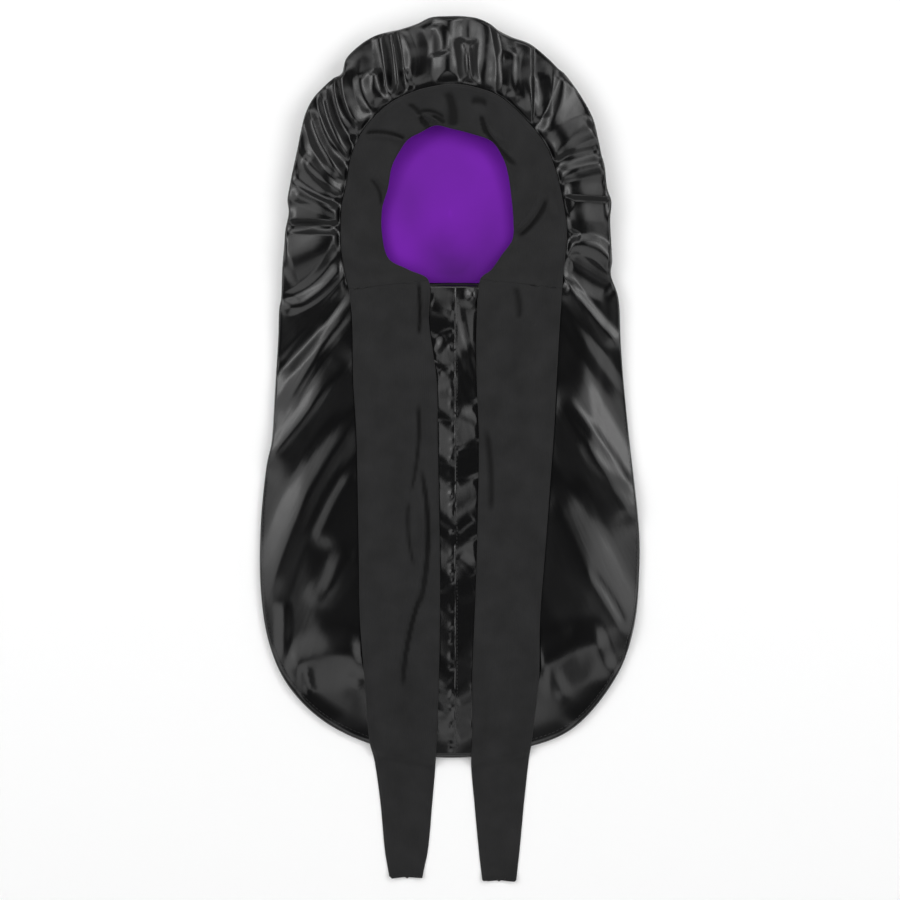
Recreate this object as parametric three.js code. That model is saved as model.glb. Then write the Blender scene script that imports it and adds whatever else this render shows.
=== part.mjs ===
// A long satin sleep bonnet for braids, lying flat on its back with the face opening up.
// Millimetres, +Z up. The crown points along +Y and the two ties run along -Y. The origin is
// on the surface it lies on, in the middle of its outline.
import * as THREE from 'three';

// Cloth
const SATIN_WALL = 1.2;
const LINING_WALL = 1.0;
const BAND_THICKNESS = 2.2;
const TIE_THICKNESS = 2.0;
const SEAM_GAP = 0.3;

// Satin bag: heights above the surface, from the flat foot of the bag to the puffed crown
const FOOT_PUFF = 18;
const CROWN_PUFF = 32;
const FOOT_RIM_HEIGHT = 2.6;
const CROWN_RIM_HEIGHT = 10;
const FOOT_EDGE_LIFT = 0.4;
const CROWN_EDGE_LIFT = 10;
const FOOT_UNDERCUT = 1.2;
const CROWN_UNDERCUT = 6.5;
const CROWN_STARTS_Y = 0;
const CROWN_FULL_Y = 300;

// Widths in plan: of the quick turn at the outline, of the slope down to it, of the rise from the
// seam, of the flat hem round the foot, and of the sewn rim in which the cloth is solid
const FOOT_TURN = 2;
const CROWN_TURN = 6;
const SIDE_FALL = 36;
const FOOT_FALL = 30;
const CROWN_FALL = 42;
const LONGEST_FALL_SHARE = 0.85;
const PUFF_RISE = 40;
const LONGEST_RISE_SHARE = 0.4;
const RAMP_ROUNDING = 0.1;
const FOLD_FADE = 7;
const FOOT_FLAT = 9;
const FOOT_HEM = 10;
const CROWN_HEM = 2.8;

// How far round the outline the foot reaches, as the share of its direction that points down it
const FOOT_STARTS = 0.3;
const FOOT_FULL = 0.8;
const OUTLINE_STEP = 0.25;

// The seam between the satin and the band
const SEAM_HEIGHT = 18;
const SEAM_CROWN_LIFT = 6;
const SEAM_LOW_Y = 150;
const SEAM_TOP_Y = 330;
const SEAM_ALLOWANCE = 4;
const SEAM_FLAT = 5;
const BAND_DIP = 3;

// Clearances between the soft layers
const LINING_CLEARANCE = 0.6;
const LINING_SIDE_CLEARANCE = 2.4;
const LINING_FOOT_INSET = 3;
const LINING_LOWEST_ROOF = 3.9;
const VALLEY_CLEARANCE = 0.5;
const SEAM_VALLEY = 0.8;
const FOOT_VALLEY = 2.4;
const CROWN_VALLEY = 7;
const VALLEY_WIDTH = 28;
const VALLEY_FLOOR = 4;
const DEEPEST_VALLEY_SHARE = 0.45;
const TIE_CLEARANCE = 0.5;
const TIE_BRIDGE = 7;

// The middle of the flat underside, where all its triangles meet
const UNDERSIDE_MIDDLE = [0, 50];

const STATIONS_PER_FOLD = 2;
const STATIONS_PER_BAND_ROW = 2;

// The face opening, clockwise from the lower left. edge is the outer edge of the band, where the
// satin is gathered in, and open is the opening's own edge. The last three rows run under the
// opening, where there is no band and the satin itself makes the edge.
const LOOP = [
  { edgeX: -91, edgeY: 144, openX: -19, openY: 152 },
  { edgeX: -95, edgeY: 163, openX: -37, openY: 162 },
  { edgeX: -98, edgeY: 184, openX: -55, openY: 172 },
  { edgeX: -98, edgeY: 202, openX: -61, openY: 193 },
  { edgeX: -97, edgeY: 220, openX: -61, openY: 217 },
  { edgeX: -93, edgeY: 238, openX: -56, openY: 234 },
  { edgeX: -88, edgeY: 265, openX: -52, openY: 255 },
  { edgeX: -76, edgeY: 289, openX: -44, openY: 270 },
  { edgeX: -55, edgeY: 310, openX: -37, openY: 279 },
  { edgeX: -33, edgeY: 321, openX: -26, openY: 285 },
  { edgeX: -14, edgeY: 326, openX: -13, openY: 291 },
  { edgeX: 4, edgeY: 328, openX: 2, openY: 288 },
  { edgeX: 23, edgeY: 325, openX: 18, openY: 284 },
  { edgeX: 44, edgeY: 317, openX: 37, openY: 277 },
  { edgeX: 64, edgeY: 300, openX: 47, openY: 263 },
  { edgeX: 84, edgeY: 276, openX: 52, openY: 248 },
  { edgeX: 94, edgeY: 253, openX: 55, openY: 228 },
  { edgeX: 101, edgeY: 225, openX: 57, openY: 205 },
  { edgeX: 105, edgeY: 198, openX: 56, openY: 189 },
  { edgeX: 104, edgeY: 178, openX: 47, openY: 176 },
  { edgeX: 102, edgeY: 160, openX: 37, openY: 162 },
  { edgeX: 101, edgeY: 145, openX: 27, openY: 153 },
  { edgeX: 54, edgeY: 143, openX: 15, openY: 151 },
  { edgeX: 5, edgeY: 142, openX: 5, openY: 150 },
  { edgeX: -45, edgeY: 143, openX: -7, openY: 151 },
];
const BAND_LAST_ROW = 21;

// The folds of the satin, clockwise from the left shoulder: each runs from the seam, at the row
// sewnAt of LOOP, to the outline at rim, and stands crest above the puff, or lies below it.
const FOLDS = [
  { rimX: -154, rimY: 126, sewnAt: 0.9, crest: 2 },
  { rimX: -152, rimY: 138, sewnAt: 1.6, crest: -4 },
  { rimX: -151, rimY: 163, sewnAt: 2.0, crest: 5 },
  { rimX: -149, rimY: 186, sewnAt: 2.3, crest: 0 },
  { rimX: -148, rimY: 198, sewnAt: 2.6, crest: -6 },
  { rimX: -145, rimY: 213, sewnAt: 2.95, crest: 5 },
  { rimX: -146, rimY: 225, sewnAt: 3.3, crest: -2 },
  { rimX: -144, rimY: 237, sewnAt: 3.65, crest: 4 },
  { rimX: -141, rimY: 252, sewnAt: 3.95, crest: -5 },
  { rimX: -137, rimY: 270, sewnAt: 4.35, crest: 3 },
  { rimX: -134, rimY: 285, sewnAt: 4.9, crest: -2 },
  { rimX: -130, rimY: 301, sewnAt: 5.45, crest: 4 },
  { rimX: -123, rimY: 315, sewnAt: 6.0, crest: -3 },
  { rimX: -114, rimY: 325, sewnAt: 6.4, crest: 4 },
  { rimX: -105, rimY: 333, sewnAt: 6.8, crest: -2 },
  { rimX: -97, rimY: 338, sewnAt: 7.2, crest: -6 },
  { rimX: -93, rimY: 351, sewnAt: 7.55, crest: 4 },
  { rimX: -81, rimY: 363, sewnAt: 7.9, crest: 4 },
  { rimX: -68, rimY: 371, sewnAt: 8.2, crest: -6 },
  { rimX: -55, rimY: 375, sewnAt: 8.45, crest: 6 },
  { rimX: -45, rimY: 377, sewnAt: 8.7, crest: -4 },
  { rimX: -30, rimY: 382, sewnAt: 9.25, crest: 6 },
  { rimX: -17, rimY: 388, sewnAt: 9.8, crest: 3 },
  { rimX: -2, rimY: 389, sewnAt: 10.5, crest: -5 },
  { rimX: 12, rimY: 389, sewnAt: 11.2, crest: 5 },
  { rimX: 25, rimY: 387, sewnAt: 11.75, crest: 1 },
  { rimX: 36, rimY: 382, sewnAt: 12.2, crest: -5 },
  { rimX: 44, rimY: 376, sewnAt: 12.65, crest: 3 },
  { rimX: 56, rimY: 370, sewnAt: 13.25, crest: 6 },
  { rimX: 72, rimY: 364, sewnAt: 14.15, crest: -6 },
  { rimX: 88, rimY: 351, sewnAt: 14.45, crest: 4 },
  { rimX: 97, rimY: 342, sewnAt: 14.7, crest: -2 },
  { rimX: 104, rimY: 336, sewnAt: 14.9, crest: 6 },
  { rimX: 117, rimY: 318, sewnAt: 15.2, crest: 1 },
  { rimX: 128, rimY: 298, sewnAt: 15.5, crest: -3 },
  { rimX: 133, rimY: 279, sewnAt: 15.75, crest: 4 },
  { rimX: 136, rimY: 265, sewnAt: 16.0, crest: -3 },
  { rimX: 139, rimY: 254, sewnAt: 16.3, crest: 4 },
  { rimX: 141, rimY: 236, sewnAt: 16.7, crest: 1 },
  { rimX: 145, rimY: 223, sewnAt: 17.05, crest: -6 },
  { rimX: 144, rimY: 207, sewnAt: 17.45, crest: 4 },
  { rimX: 145, rimY: 187, sewnAt: 17.95, crest: -3 },
  { rimX: 146, rimY: 170, sewnAt: 18.45, crest: 6 },
  { rimX: 145, rimY: 157, sewnAt: 19.0, crest: -4 },
  { rimX: 152, rimY: 135, sewnAt: 19.5, crest: 1 },
  { rimX: 154, rimY: 97, sewnAt: 20.0, crest: 5 },
  { rimX: 157, rimY: 58, sewnAt: 20.6, crest: -2 },
  { rimX: 162, rimY: 9, sewnAt: 21.4, crest: -1 },
  { rimX: 170, rimY: -62, sewnAt: 21.9, crest: 5 },
  { rimX: 171, rimY: -108, sewnAt: 22.3, crest: -2 },
  { rimX: 166, rimY: -161, sewnAt: 22.55, crest: 4 },
  { rimX: 149, rimY: -207, sewnAt: 22.7, crest: -1 },
  { rimX: 113, rimY: -250, sewnAt: 22.82, crest: 1 },
  { rimX: 68, rimY: -269, sewnAt: 22.92, crest: 0 },
  { rimX: 5, rimY: -278, sewnAt: 23.0, crest: 0 },
  { rimX: -54, rimY: -271, sewnAt: 23.08, crest: 0 },
  { rimX: -108, rimY: -249, sewnAt: 23.18, crest: 1 },
  { rimX: -144, rimY: -216, sewnAt: 23.3, crest: -1 },
  { rimX: -163, rimY: -176, sewnAt: 23.5, crest: 0 },
  { rimX: -171, rimY: -126, sewnAt: 23.8, crest: 5 },
  { rimX: -171, rimY: -68, sewnAt: 24.15, crest: -2 },
  { rimX: -166, rimY: -16, sewnAt: 24.5, crest: 1 },
  { rimX: -161, rimY: 9, sewnAt: 24.8, crest: 5 },
  { rimX: -158, rimY: 54, sewnAt: 25.3, crest: -2 },
  { rimX: -155, rimY: 99, sewnAt: 25.6, crest: 1 },
];

// The ties, from the ends of the band down to their raw cut ends
const LEFT_TIE = [
  { y: 117, outerX: -88, innerX: -19 },
  { y: 63, outerX: -87, innerX: -12 },
  { y: 9, outerX: -84, innerX: -11 },
  { y: -99, outerX: -82, innerX: -9 },
  { y: -153, outerX: -81, innerX: -9 },
  { y: -207, outerX: -77, innerX: -10 },
  { y: -261, outerX: -73, innerX: -12 },
  { y: -283, outerX: -68, innerX: -13 },
  { y: -319, outerX: -63, innerX: -16 },
  { y: -362, outerX: -59, innerX: -20 },
  { y: -386, outerX: -55, innerX: -25 },
];
const RIGHT_TIE = [
  { y: 117, outerX: 99, innerX: 24 },
  { y: 63, outerX: 96, innerX: 24 },
  { y: 9, outerX: 93, innerX: 26 },
  { y: -99, outerX: 85, innerX: 24 },
  { y: -153, outerX: 81, innerX: 22 },
  { y: -207, outerX: 80, innerX: 20 },
  { y: -261, outerX: 74, innerX: 20 },
  { y: -283, outerX: 71, innerX: 19 },
  { y: -319, outerX: 67, innerX: 22 },
  { y: -362, outerX: 63, innerX: 26 },
  { y: -389, outerX: 60, innerX: 29 },
];
const TIE_STATION_SPACING = 19;

// Where the rows of points lie across the band and the ties, from the outer to the inner edge,
// how far the top of each edge is rounded off, and over how many rows the band's ends level out
const BAND_COLUMNS = [0, 0.15, 0.55, 0.88, 1];
const TIE_COLUMNS = [0, 0.25, 0.5, 0.75, 1];
const STRIP_EDGE_SHARE = 0.35;
const BAND_END_ROWS = 3;

// Where the rows of the bag's front lie, as shares of the way from the seam to the outline
const FRONT_ROWS = [0, 0.12, 0.26, 0.42, 0.58, 0.73, 0.86, 0.94, 0.985, 1];
const CAVITY_ROWS = [0, 0.13, 0.28, 0.45, 0.62, 0.78, 0.9, 1];
const LINING_ROWS = [0, 0.2, 0.42, 0.64, 0.82, 0.93, 1];
const UNDERCUT_ANGLES = [30, 60, 90];

const CURVE_TENSION = 0.5;
const SLOPE_STEP = 0.5;

const mix = THREE.MathUtils.lerp;
const smooth = (value, low, high) => THREE.MathUtils.smoothstep(value, low, high);

/** The quarter circle that rises from 0 at 0 to 1 at 1, and stays at 1. */
function roundRise(share) {
  const rest = 1 - Math.min(1, Math.max(0, share));
  return Math.sqrt(1 - rest * rest);
}

/** The quarter sine wave that rises from 0 at 0 to 1 at 1, and stays at 1. */
function easeUp(share) {
  return Math.sin(0.5 * Math.PI * Math.min(1, Math.max(0, share)));
}

/** The straight ramp from 0 at 0 to 1 at 1, with both its corners rounded. */
function softRamp(share) {
  const low = 0.5 * (share + Math.hypot(share, RAMP_ROUNDING));
  const high = 0.5 * (low - 1 + Math.hypot(low - 1, RAMP_ROUNDING));
  return Math.max(0, low - high);
}

/** A closed smooth curve through one pair of columns of a table, read at a row number. */
function closedCurve(rows, columnX, columnY, columnZ) {
  const points = rows.map((row) => new THREE.Vector3(row[columnX], row[columnY], row[columnZ] ?? 0));
  const curve = new THREE.CatmullRomCurve3(points, true, 'catmullrom', CURVE_TENSION);
  return (row) => curve.getPoint((row / rows.length) % 1);
}

const seamEdge = closedCurve(LOOP, 'edgeX', 'edgeY');
const openingEdge = closedCurve(LOOP, 'openX', 'openY');
const outline = closedCurve(FOLDS, 'rimX', 'rimY', 'crest');
const seamHeight = (y) => SEAM_HEIGHT + SEAM_CROWN_LIFT * smooth(y, SEAM_LOW_Y, SEAM_TOP_Y);

/** Row number on LOOP at which the satin at a given row number of FOLDS is sewn in. */
function sewnRow(foldRow) {
  const first = Math.floor(foldRow);
  const share = foldRow - first;
  const here = FOLDS[first % FOLDS.length].sewnAt;
  const next = first + 1 < FOLDS.length ? FOLDS[first + 1].sewnAt : FOLDS[0].sewnAt + LOOP.length;
  return mix(here, next, share);
}

/** A solid between rings of equal length: ring after ring is joined, and each end is closed by
 * a single point where one is given, or by a fan over the ring itself. */
function ringSolid(rings, firstPole, lastPole) {
  const around = rings[0].length;
  const vertices = rings.flat();
  const triangles = [];
  for (let ring = 0; ring + 1 < rings.length; ring += 1) {
    for (let i = 0; i < around; i += 1) {
      const a = ring * around + i;
      const b = ring * around + ((i + 1) % around);
      triangles.push(a, b, b + around, a, b + around, a + around);
    }
  }
  const lastRing = (rings.length - 1) * around;
  if (firstPole) {
    const pole = vertices.push(firstPole) - 1;
    for (let i = 0; i < around; i += 1) triangles.push(pole, (i + 1) % around, i);
  } else {
    for (let i = 1; i + 1 < around; i += 1) triangles.push(0, i + 1, i);
  }
  if (lastPole) {
    const pole = vertices.push(lastPole) - 1;
    for (let i = 0; i < around; i += 1) triangles.push(pole, lastRing + i, lastRing + ((i + 1) % around));
  } else {
    for (let i = 1; i + 1 < around; i += 1) triangles.push(lastRing, lastRing + i, lastRing + i + 1);
  }
  return outwardGeometry(vertices, triangles);
}

/** Geometry of a closed surface whose triangles agree, turned so that its faces point out. */
function outwardGeometry(vertices, triangles) {
  let volume = 0;
  for (let k = 0; k < triangles.length; k += 3) {
    const [a, b, c] = [0, 1, 2].map((corner) => new THREE.Vector3(...vertices[triangles[k + corner]]));
    volume += a.dot(b.cross(c));
  }
  const index = volume > 0 ? triangles : triangles.slice().reverse();
  const geometry = new THREE.BufferGeometry();
  geometry.setAttribute('position', new THREE.Float32BufferAttribute(vertices.flat(), 3));
  geometry.setIndex(index);
  geometry.computeVertexNormals();
  return geometry;
}

// The satin bag

/** One radial section of the bag, at a row number of FOLDS: its ends and its sizes. */
function bagSection(foldRow) {
  const rim = outline(foldRow);
  const edge = seamEdge(sewnRow(foldRow));
  const away = new THREE.Vector2(rim.x - edge.x, rim.y - edge.y);
  const length = away.length() + SEAM_ALLOWANCE;
  away.normalize();
  const crown = smooth(rim.y, CROWN_STARTS_Y, CROWN_FULL_Y);
  const ahead = outline(foldRow + OUTLINE_STEP);
  const behind = outline(foldRow + FOLDS.length - OUTLINE_STEP);
  const downward = (behind.x - ahead.x) / Math.hypot(behind.x - ahead.x, behind.y - ahead.y);
  const foot = smooth(downward, FOOT_STARTS, FOOT_FULL);
  const fall = mix(mix(SIDE_FALL, FOOT_FALL, foot), CROWN_FALL, crown);
  return {
    rim,
    away,
    length,
    crown,
    foot,
    fall: Math.min(fall, LONGEST_FALL_SHARE * length),
    rise: Math.min(PUFF_RISE, LONGEST_RISE_SHARE * length),
    turn: mix(FOOT_TURN, CROWN_TURN, crown),
    edgeLift: mix(FOOT_EDGE_LIFT, CROWN_EDGE_LIFT, crown),
    crest: rim.z,
    seamZ: seamHeight(edge.y),
    puff: mix(FOOT_PUFF, CROWN_PUFF, crown),
    rimHeight: mix(FOOT_RIM_HEIGHT, CROWN_RIM_HEIGHT, crown),
    undercut: mix(FOOT_UNDERCUT, CROWN_UNDERCUT, crown),
    hem: mix(FOOT_HEM, CROWN_HEM, crown),
    valley: mix(FOOT_VALLEY, CROWN_VALLEY, crown),
  };
}

/** How much of a fold's crest shows at a distance from the seam: none at the seam itself, all of
 * it past the gathers, and little at the outline. */
function crestShare(section, fromSeam) {
  const start = SEAM_FLAT + mix(0.1, 0, section.crown) * section.length;
  const full = SEAM_FLAT + mix(0.38, 0.18, section.crown) * section.length;
  const fade = 0.8 * smooth(fromSeam / section.length, 0.8, 1);
  return smooth(fromSeam, start, full) * (1 - fade);
}

/** Height of the bag's front without folds: a quick turn up at the outline, a flat hem round the
 * foot, a straight slope up to the puff, and a quarter wave down to the seam. */
function puffHeight(section, fromSeam) {
  const body = mix(section.seamZ, section.puff, easeUp((fromSeam - SEAM_FLAT) / section.rise));
  const left = section.length - fromSeam;
  const slope = softRamp((left - FOOT_FLAT * section.foot) / section.fall);
  const hem = section.rimHeight + section.edgeLift * easeUp(left / section.turn);
  return mix(hem, body, slope);
}

/** How deep a valley may lie below the puff: little at the seam, and where the bag is thin. */
function deepestValley(section, fromSeam) {
  const wanted = SEAM_VALLEY + section.valley * smooth(fromSeam, SEAM_ALLOWANCE, SEAM_ALLOWANCE + VALLEY_WIDTH);
  const room = puffHeight(section, fromSeam) - VALLEY_FLOOR;
  return Math.max(0, Math.min(wanted, DEEPEST_VALLEY_SHARE * room));
}

/** Height of the bag's front at a distance from the seam, with the section's fold. */
function frontHeight(section, fromSeam) {
  const fade = easeUp((section.length - fromSeam) / FOLD_FADE);
  const fold = section.crest * crestShare(section, fromSeam) * fade;
  return puffHeight(section, fromSeam) + Math.max(fold, -deepestValley(section, fromSeam));
}

/** Height of the bag's rounded underside at a distance inside the outline. */
function undersideHeight(section, fromRim) {
  return section.rimHeight * (1 - roundRise(fromRim / section.undercut));
}

/** Height of the floor inside the bag at a distance in from its side wall: a straight slope that
 * clears the rounded underside, and then flat. */
function cavityFloor(section, fromWall) {
  const wallFoot = undersideHeight(section, section.hem) + SATIN_WALL;
  return mix(wallFoot, SATIN_WALL, Math.min(1, fromWall / section.undercut));
}

/** The point of a section at a distance inside its outline, at a height. */
function sectionPoint(section, fromRim, z) {
  return [section.rim.x - section.away.x * fromRim, section.rim.y - section.away.y * fromRim, z];
}

/** Distances from the seam for a list of shares, the first two at the seam's flat strip. */
function rowDistances(length, shares) {
  return [0, ...shares.map((share) => mix(SEAM_FLAT, length, share))];
}

/** The points of one section of the bag's cloth: out along the front, round the rim and under,
 * and back along the inside, one wall thickness in from the outer face. */
function bagSectionPoints(section) {
  const outer = rowDistances(section.length, FRONT_ROWS).map((fromSeam) => {
    return sectionPoint(section, section.length - fromSeam, frontHeight(section, fromSeam));
  });
  const under = UNDERCUT_ANGLES.map((degrees) => {
    const angle = THREE.MathUtils.degToRad(degrees);
    const fromRim = section.undercut * (1 - Math.cos(angle));
    return sectionPoint(section, fromRim, section.rimHeight * (1 - Math.sin(angle)));
  });
  const roof = rowDistances(section.length - section.hem, CAVITY_ROWS).map((fromSeam) => {
    const z = frontHeight(section, fromSeam);
    const slope = (frontHeight(section, fromSeam + SLOPE_STEP) - z) / SLOPE_STEP;
    const turn = Math.hypot(1, slope);
    const inward = SATIN_WALL * Math.max(0, -slope / turn);
    return sectionPoint(section, section.length - fromSeam + inward, z - SATIN_WALL / turn);
  });
  const wallFoot = sectionPoint(section, section.hem + SATIN_WALL, cavityFloor(section, 0));
  const floorFrom = section.hem + section.undercut + SATIN_WALL;
  const floorEdge = sectionPoint(section, floorFrom, cavityFloor(section, section.undercut));
  return { outer: [...outer, ...under], inner: [...roof, wallFoot, floorEdge] };
}

/** Turns one list of points for each station into rings that run round the bag. */
function ringsOf(stations) {
  return stations[0].map((_, row) => stations.map((points) => points[row]));
}

function bagStations(perFold) {
  const count = FOLDS.length * perFold;
  return Array.from({ length: count }, (_, i) => bagSection(i / perFold));
}

function satinShell() {
  const stations = bagStations(STATIONS_PER_FOLD).map(bagSectionPoints);
  const outer = ringsOf(stations.map((points) => points.outer));
  const inner = ringsOf(stations.map((points) => points.inner));
  const rings = [...outer.reverse(), ...inner];
  const [x, y] = UNDERSIDE_MIDDLE;
  return ringSolid(rings, [x, y, 0], [x, y, SATIN_WALL]);
}

// The lining, a smooth inner bag that is sewn in at the opening's edge

/** The points of the lining's outer face, or its inner face when inset is the wall thickness. */
function liningFace(section, foldRow, inset) {
  const edge = seamEdge(sewnRow(foldRow));
  const opening = openingEdge(sewnRow(foldRow));
  const drop = SATIN_WALL + LINING_CLEARANCE + inset;
  const bandUnder = seamHeight(edge.y) - BAND_DIP - drop;
  const outward = new THREE.Vector2(edge.x - opening.x, edge.y - opening.y).normalize();
  const mouth = [opening.x + outward.x * inset, opening.y + outward.y * inset, bandUnder];
  const footInset = mix(LINING_FOOT_INSET, 0, section.crown);
  const rimInset = section.hem + footInset + SATIN_WALL + LINING_CLEARANCE + inset;
  const roofLength = section.length - rimInset;
  const roof = rowDistances(roofLength, LINING_ROWS).map((fromSeam) => {
    const shifted = Math.min(section.length, fromSeam + LINING_SIDE_CLEARANCE);
    const sheltered = fromSeam > roofLength / 2 ? shifted : fromSeam;
    const lowest = (at) => puffHeight(section, at) - deepestValley(section, at) - VALLEY_CLEARANCE;
    const under = Math.min(lowest(sheltered), lowest(fromSeam)) - drop;
    const z = Math.max(under, LINING_LOWEST_ROOF - inset);
    return sectionPoint(section, section.length - fromSeam, z);
  });
  const lift = SEAM_GAP + inset;
  const wallFoot = sectionPoint(section, rimInset, cavityFloor(section, 0) + lift);
  const floorFrom = rimInset + section.undercut + SATIN_WALL;
  const floorEdge = sectionPoint(section, floorFrom, cavityFloor(section, section.undercut) + lift);
  return [mouth, ...roof, wallFoot, floorEdge];
}

function satinLining() {
  const sections = bagStations(1);
  const faces = [0, LINING_WALL].map((inset) => ringsOf(sections.map((s, i) => liningFace(s, i, inset))));
  const rings = [...faces[0].reverse(), ...faces[1]];
  const [x, y] = UNDERSIDE_MIDDLE;
  const floorZ = SATIN_WALL + SEAM_GAP;
  return ringSolid(rings, [x, y, floorZ], [x, y, floorZ + LINING_WALL]);
}

// The band round the face opening

/** One cross-section of a flat strip between two edge points, as a closed ring: across the top
 * and back along the underside, with softened edges. */
function stripRing(outer, inner, columns, undersideAt, thickness) {
  const place = (share) => [mix(outer[0], inner[0], share), mix(outer[1], inner[1], share)];
  const lifted = columns.map((share) => {
    const [x, y] = place(share);
    return [x, y, undersideAt(share, x, y)];
  });
  const top = lifted.map(([x, y, z], i) => {
    const atEdge = i === 0 || i === columns.length - 1;
    return [x, y, z + thickness * (atEdge ? 1 - STRIP_EDGE_SHARE : 1)];
  });
  return [...top, ...lifted.reverse()];
}

function faceBand() {
  const steps = BAND_LAST_ROW * STATIONS_PER_BAND_ROW;
  const rings = Array.from({ length: steps + 1 }, (_, i) => {
    const row = i / STATIONS_PER_BAND_ROW;
    const edge = seamEdge(row);
    const opening = openingEdge(row);
    const level = seamHeight(edge.y) + SEAM_GAP;
    const dip = BAND_DIP * roundRise(Math.min(row, BAND_LAST_ROW - row) / BAND_END_ROWS);
    const undersideAt = (share) => level - dip * smooth(share, BAND_COLUMNS[1], 1);
    return stripRing([edge.x, edge.y], [opening.x, opening.y], BAND_COLUMNS, undersideAt, BAND_THICKNESS);
  });
  return ringSolid(rings);
}

// The ties, which lie down the front of the bag and past its foot onto the surface

/** Height of the front of the bag over a point of the plan, 0 outside its outline. */
function makeFrontLookup() {
  const stations = bagStations(STATIONS_PER_FOLD).map((section) => {
    return bagSectionPoints(section).outer.slice(0, FRONT_ROWS.length + 1);
  });
  const facets = [];
  stations.forEach((here, i) => {
    const next = stations[(i + 1) % stations.length];
    for (let row = 0; row + 1 < here.length; row += 1) {
      facets.push([here[row], next[row], next[row + 1]], [here[row], next[row + 1], here[row + 1]]);
    }
  });
  return (x, y) => {
    let height = 0;
    for (const [a, b, c] of facets) {
      const area = (b[0] - a[0]) * (c[1] - a[1]) - (c[0] - a[0]) * (b[1] - a[1]);
      const shareB = ((x - a[0]) * (c[1] - a[1]) - (c[0] - a[0]) * (y - a[1])) / area;
      const shareC = ((b[0] - a[0]) * (y - a[1]) - (x - a[0]) * (b[1] - a[1])) / area;
      if (shareB >= 0 && shareC >= 0 && shareB + shareC <= 1) {
        height = Math.max(height, a[2] + shareB * (b[2] - a[2]) + shareC * (c[2] - a[2]));
      }
    }
    return height;
  };
}

const frontOver = makeFrontLookup();

/** Height at which cloth rests over a point: it bridges what lies a little to each side. */
function restingHeight(x, y) {
  const reach = [-TIE_BRIDGE, 0, TIE_BRIDGE];
  const heights = reach.flatMap((dx) => reach.map((dy) => frontOver(x + dx, y + dy)));
  const highest = Math.max(...heights);
  return highest > 0 ? highest + TIE_CLEARANCE : 0;
}

/** The rows of a tie at an even spacing, with the band's own end as its first row. */
function tieSections(bandRow, table) {
  const end = LOOP[bandRow];
  const ends = { outer: [end.edgeX, end.edgeY - SEAM_GAP], inner: [end.openX, end.openY - SEAM_GAP] };
  const rows = [ends, ...table.map((row) => ({ outer: [row.outerX, row.y], inner: [row.innerX, row.y] }))];
  const sections = [];
  rows.slice(0, -1).forEach((row, k) => {
    const next = rows[k + 1];
    const steps = Math.max(1, Math.round(Math.abs(next.outer[1] - row.outer[1]) / TIE_STATION_SPACING));
    for (let step = 0; step < steps; step += 1) {
      const between = (side) => [0, 1].map((axis) => mix(row[side][axis], next[side][axis], step / steps));
      sections.push({ outer: between('outer'), inner: between('inner') });
    }
  });
  return [...sections, rows[rows.length - 1]];
}

function tie(bandRow, table) {
  const rings = tieSections(bandRow, table).map(({ outer, inner }) => {
    return stripRing(outer, inner, TIE_COLUMNS, (_, x, y) => restingHeight(x, y), TIE_THICKNESS);
  });
  return ringSolid(rings);
}

// Assembly

const blackSatin = { color: 0x17171a, roughness: 0.32, metalness: 0, side: THREE.DoubleSide };
const purpleSatin = { color: 0x7129a6, roughness: 0.45, metalness: 0, side: THREE.DoubleSide };
const blackJersey = { color: 0x262627, roughness: 0.9, metalness: 0 };

function piece(name, geometry, finish) {
  const mesh = new THREE.Mesh(geometry, new THREE.MeshStandardMaterial(finish));
  mesh.name = name;
  return mesh;
}

const bonnet = new THREE.Group();
bonnet.add(piece('satin_shell', satinShell(), blackSatin));
bonnet.add(piece('satin_lining', satinLining(), purpleSatin));
bonnet.add(piece('face_band', faceBand(), blackJersey));
bonnet.add(piece('tie_left', tie(0, LEFT_TIE), blackJersey));
bonnet.add(piece('tie_right', tie(BAND_LAST_ROW, RIGHT_TIE), blackJersey));

export default bonnet;
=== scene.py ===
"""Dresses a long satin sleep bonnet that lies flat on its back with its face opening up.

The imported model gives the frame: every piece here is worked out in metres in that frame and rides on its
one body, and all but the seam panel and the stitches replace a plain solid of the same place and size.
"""

from __future__ import annotations

import logging
from dataclasses import dataclass, field
from enum import Enum
from math import radians
from typing import Any

import bpy
import numpy as np
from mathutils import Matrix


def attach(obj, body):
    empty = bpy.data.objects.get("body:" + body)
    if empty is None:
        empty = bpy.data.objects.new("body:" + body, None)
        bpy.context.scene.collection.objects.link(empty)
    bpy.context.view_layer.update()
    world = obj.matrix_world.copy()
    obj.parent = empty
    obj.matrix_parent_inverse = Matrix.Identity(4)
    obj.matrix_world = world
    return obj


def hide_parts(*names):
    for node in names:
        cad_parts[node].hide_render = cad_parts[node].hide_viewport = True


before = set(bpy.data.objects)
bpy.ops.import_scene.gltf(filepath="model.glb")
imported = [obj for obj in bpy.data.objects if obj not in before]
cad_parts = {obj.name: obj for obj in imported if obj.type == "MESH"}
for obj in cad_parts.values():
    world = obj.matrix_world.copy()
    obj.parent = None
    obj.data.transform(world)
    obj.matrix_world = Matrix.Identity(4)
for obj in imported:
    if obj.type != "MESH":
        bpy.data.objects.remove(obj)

Array = np.ndarray
Pair = tuple[float, float]
Colour = tuple[float, float, float]

logging.basicConfig(level=logging.INFO, format="%(message)s")
log = logging.getLogger("bonnet")

MM = 0.001
BODY = "root"
NO_TRIANGLES = np.empty((0, 3), int)

# The seam between satin and band: its height at the foot, its rise, and where it rises
SEAM_Z = 16 * MM
SEAM_RISE = 7 * MM
SEAM_RISE_YS = (150 * MM, 330 * MM)
BAND_END_Y = 144 * MM


class Slot(Enum):
    """The record's material slots."""

    BLACK_SATIN = "black_satin"
    PURPLE_SATIN = "purple_satin"
    BLACK_JERSEY = "black_jersey"


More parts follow.
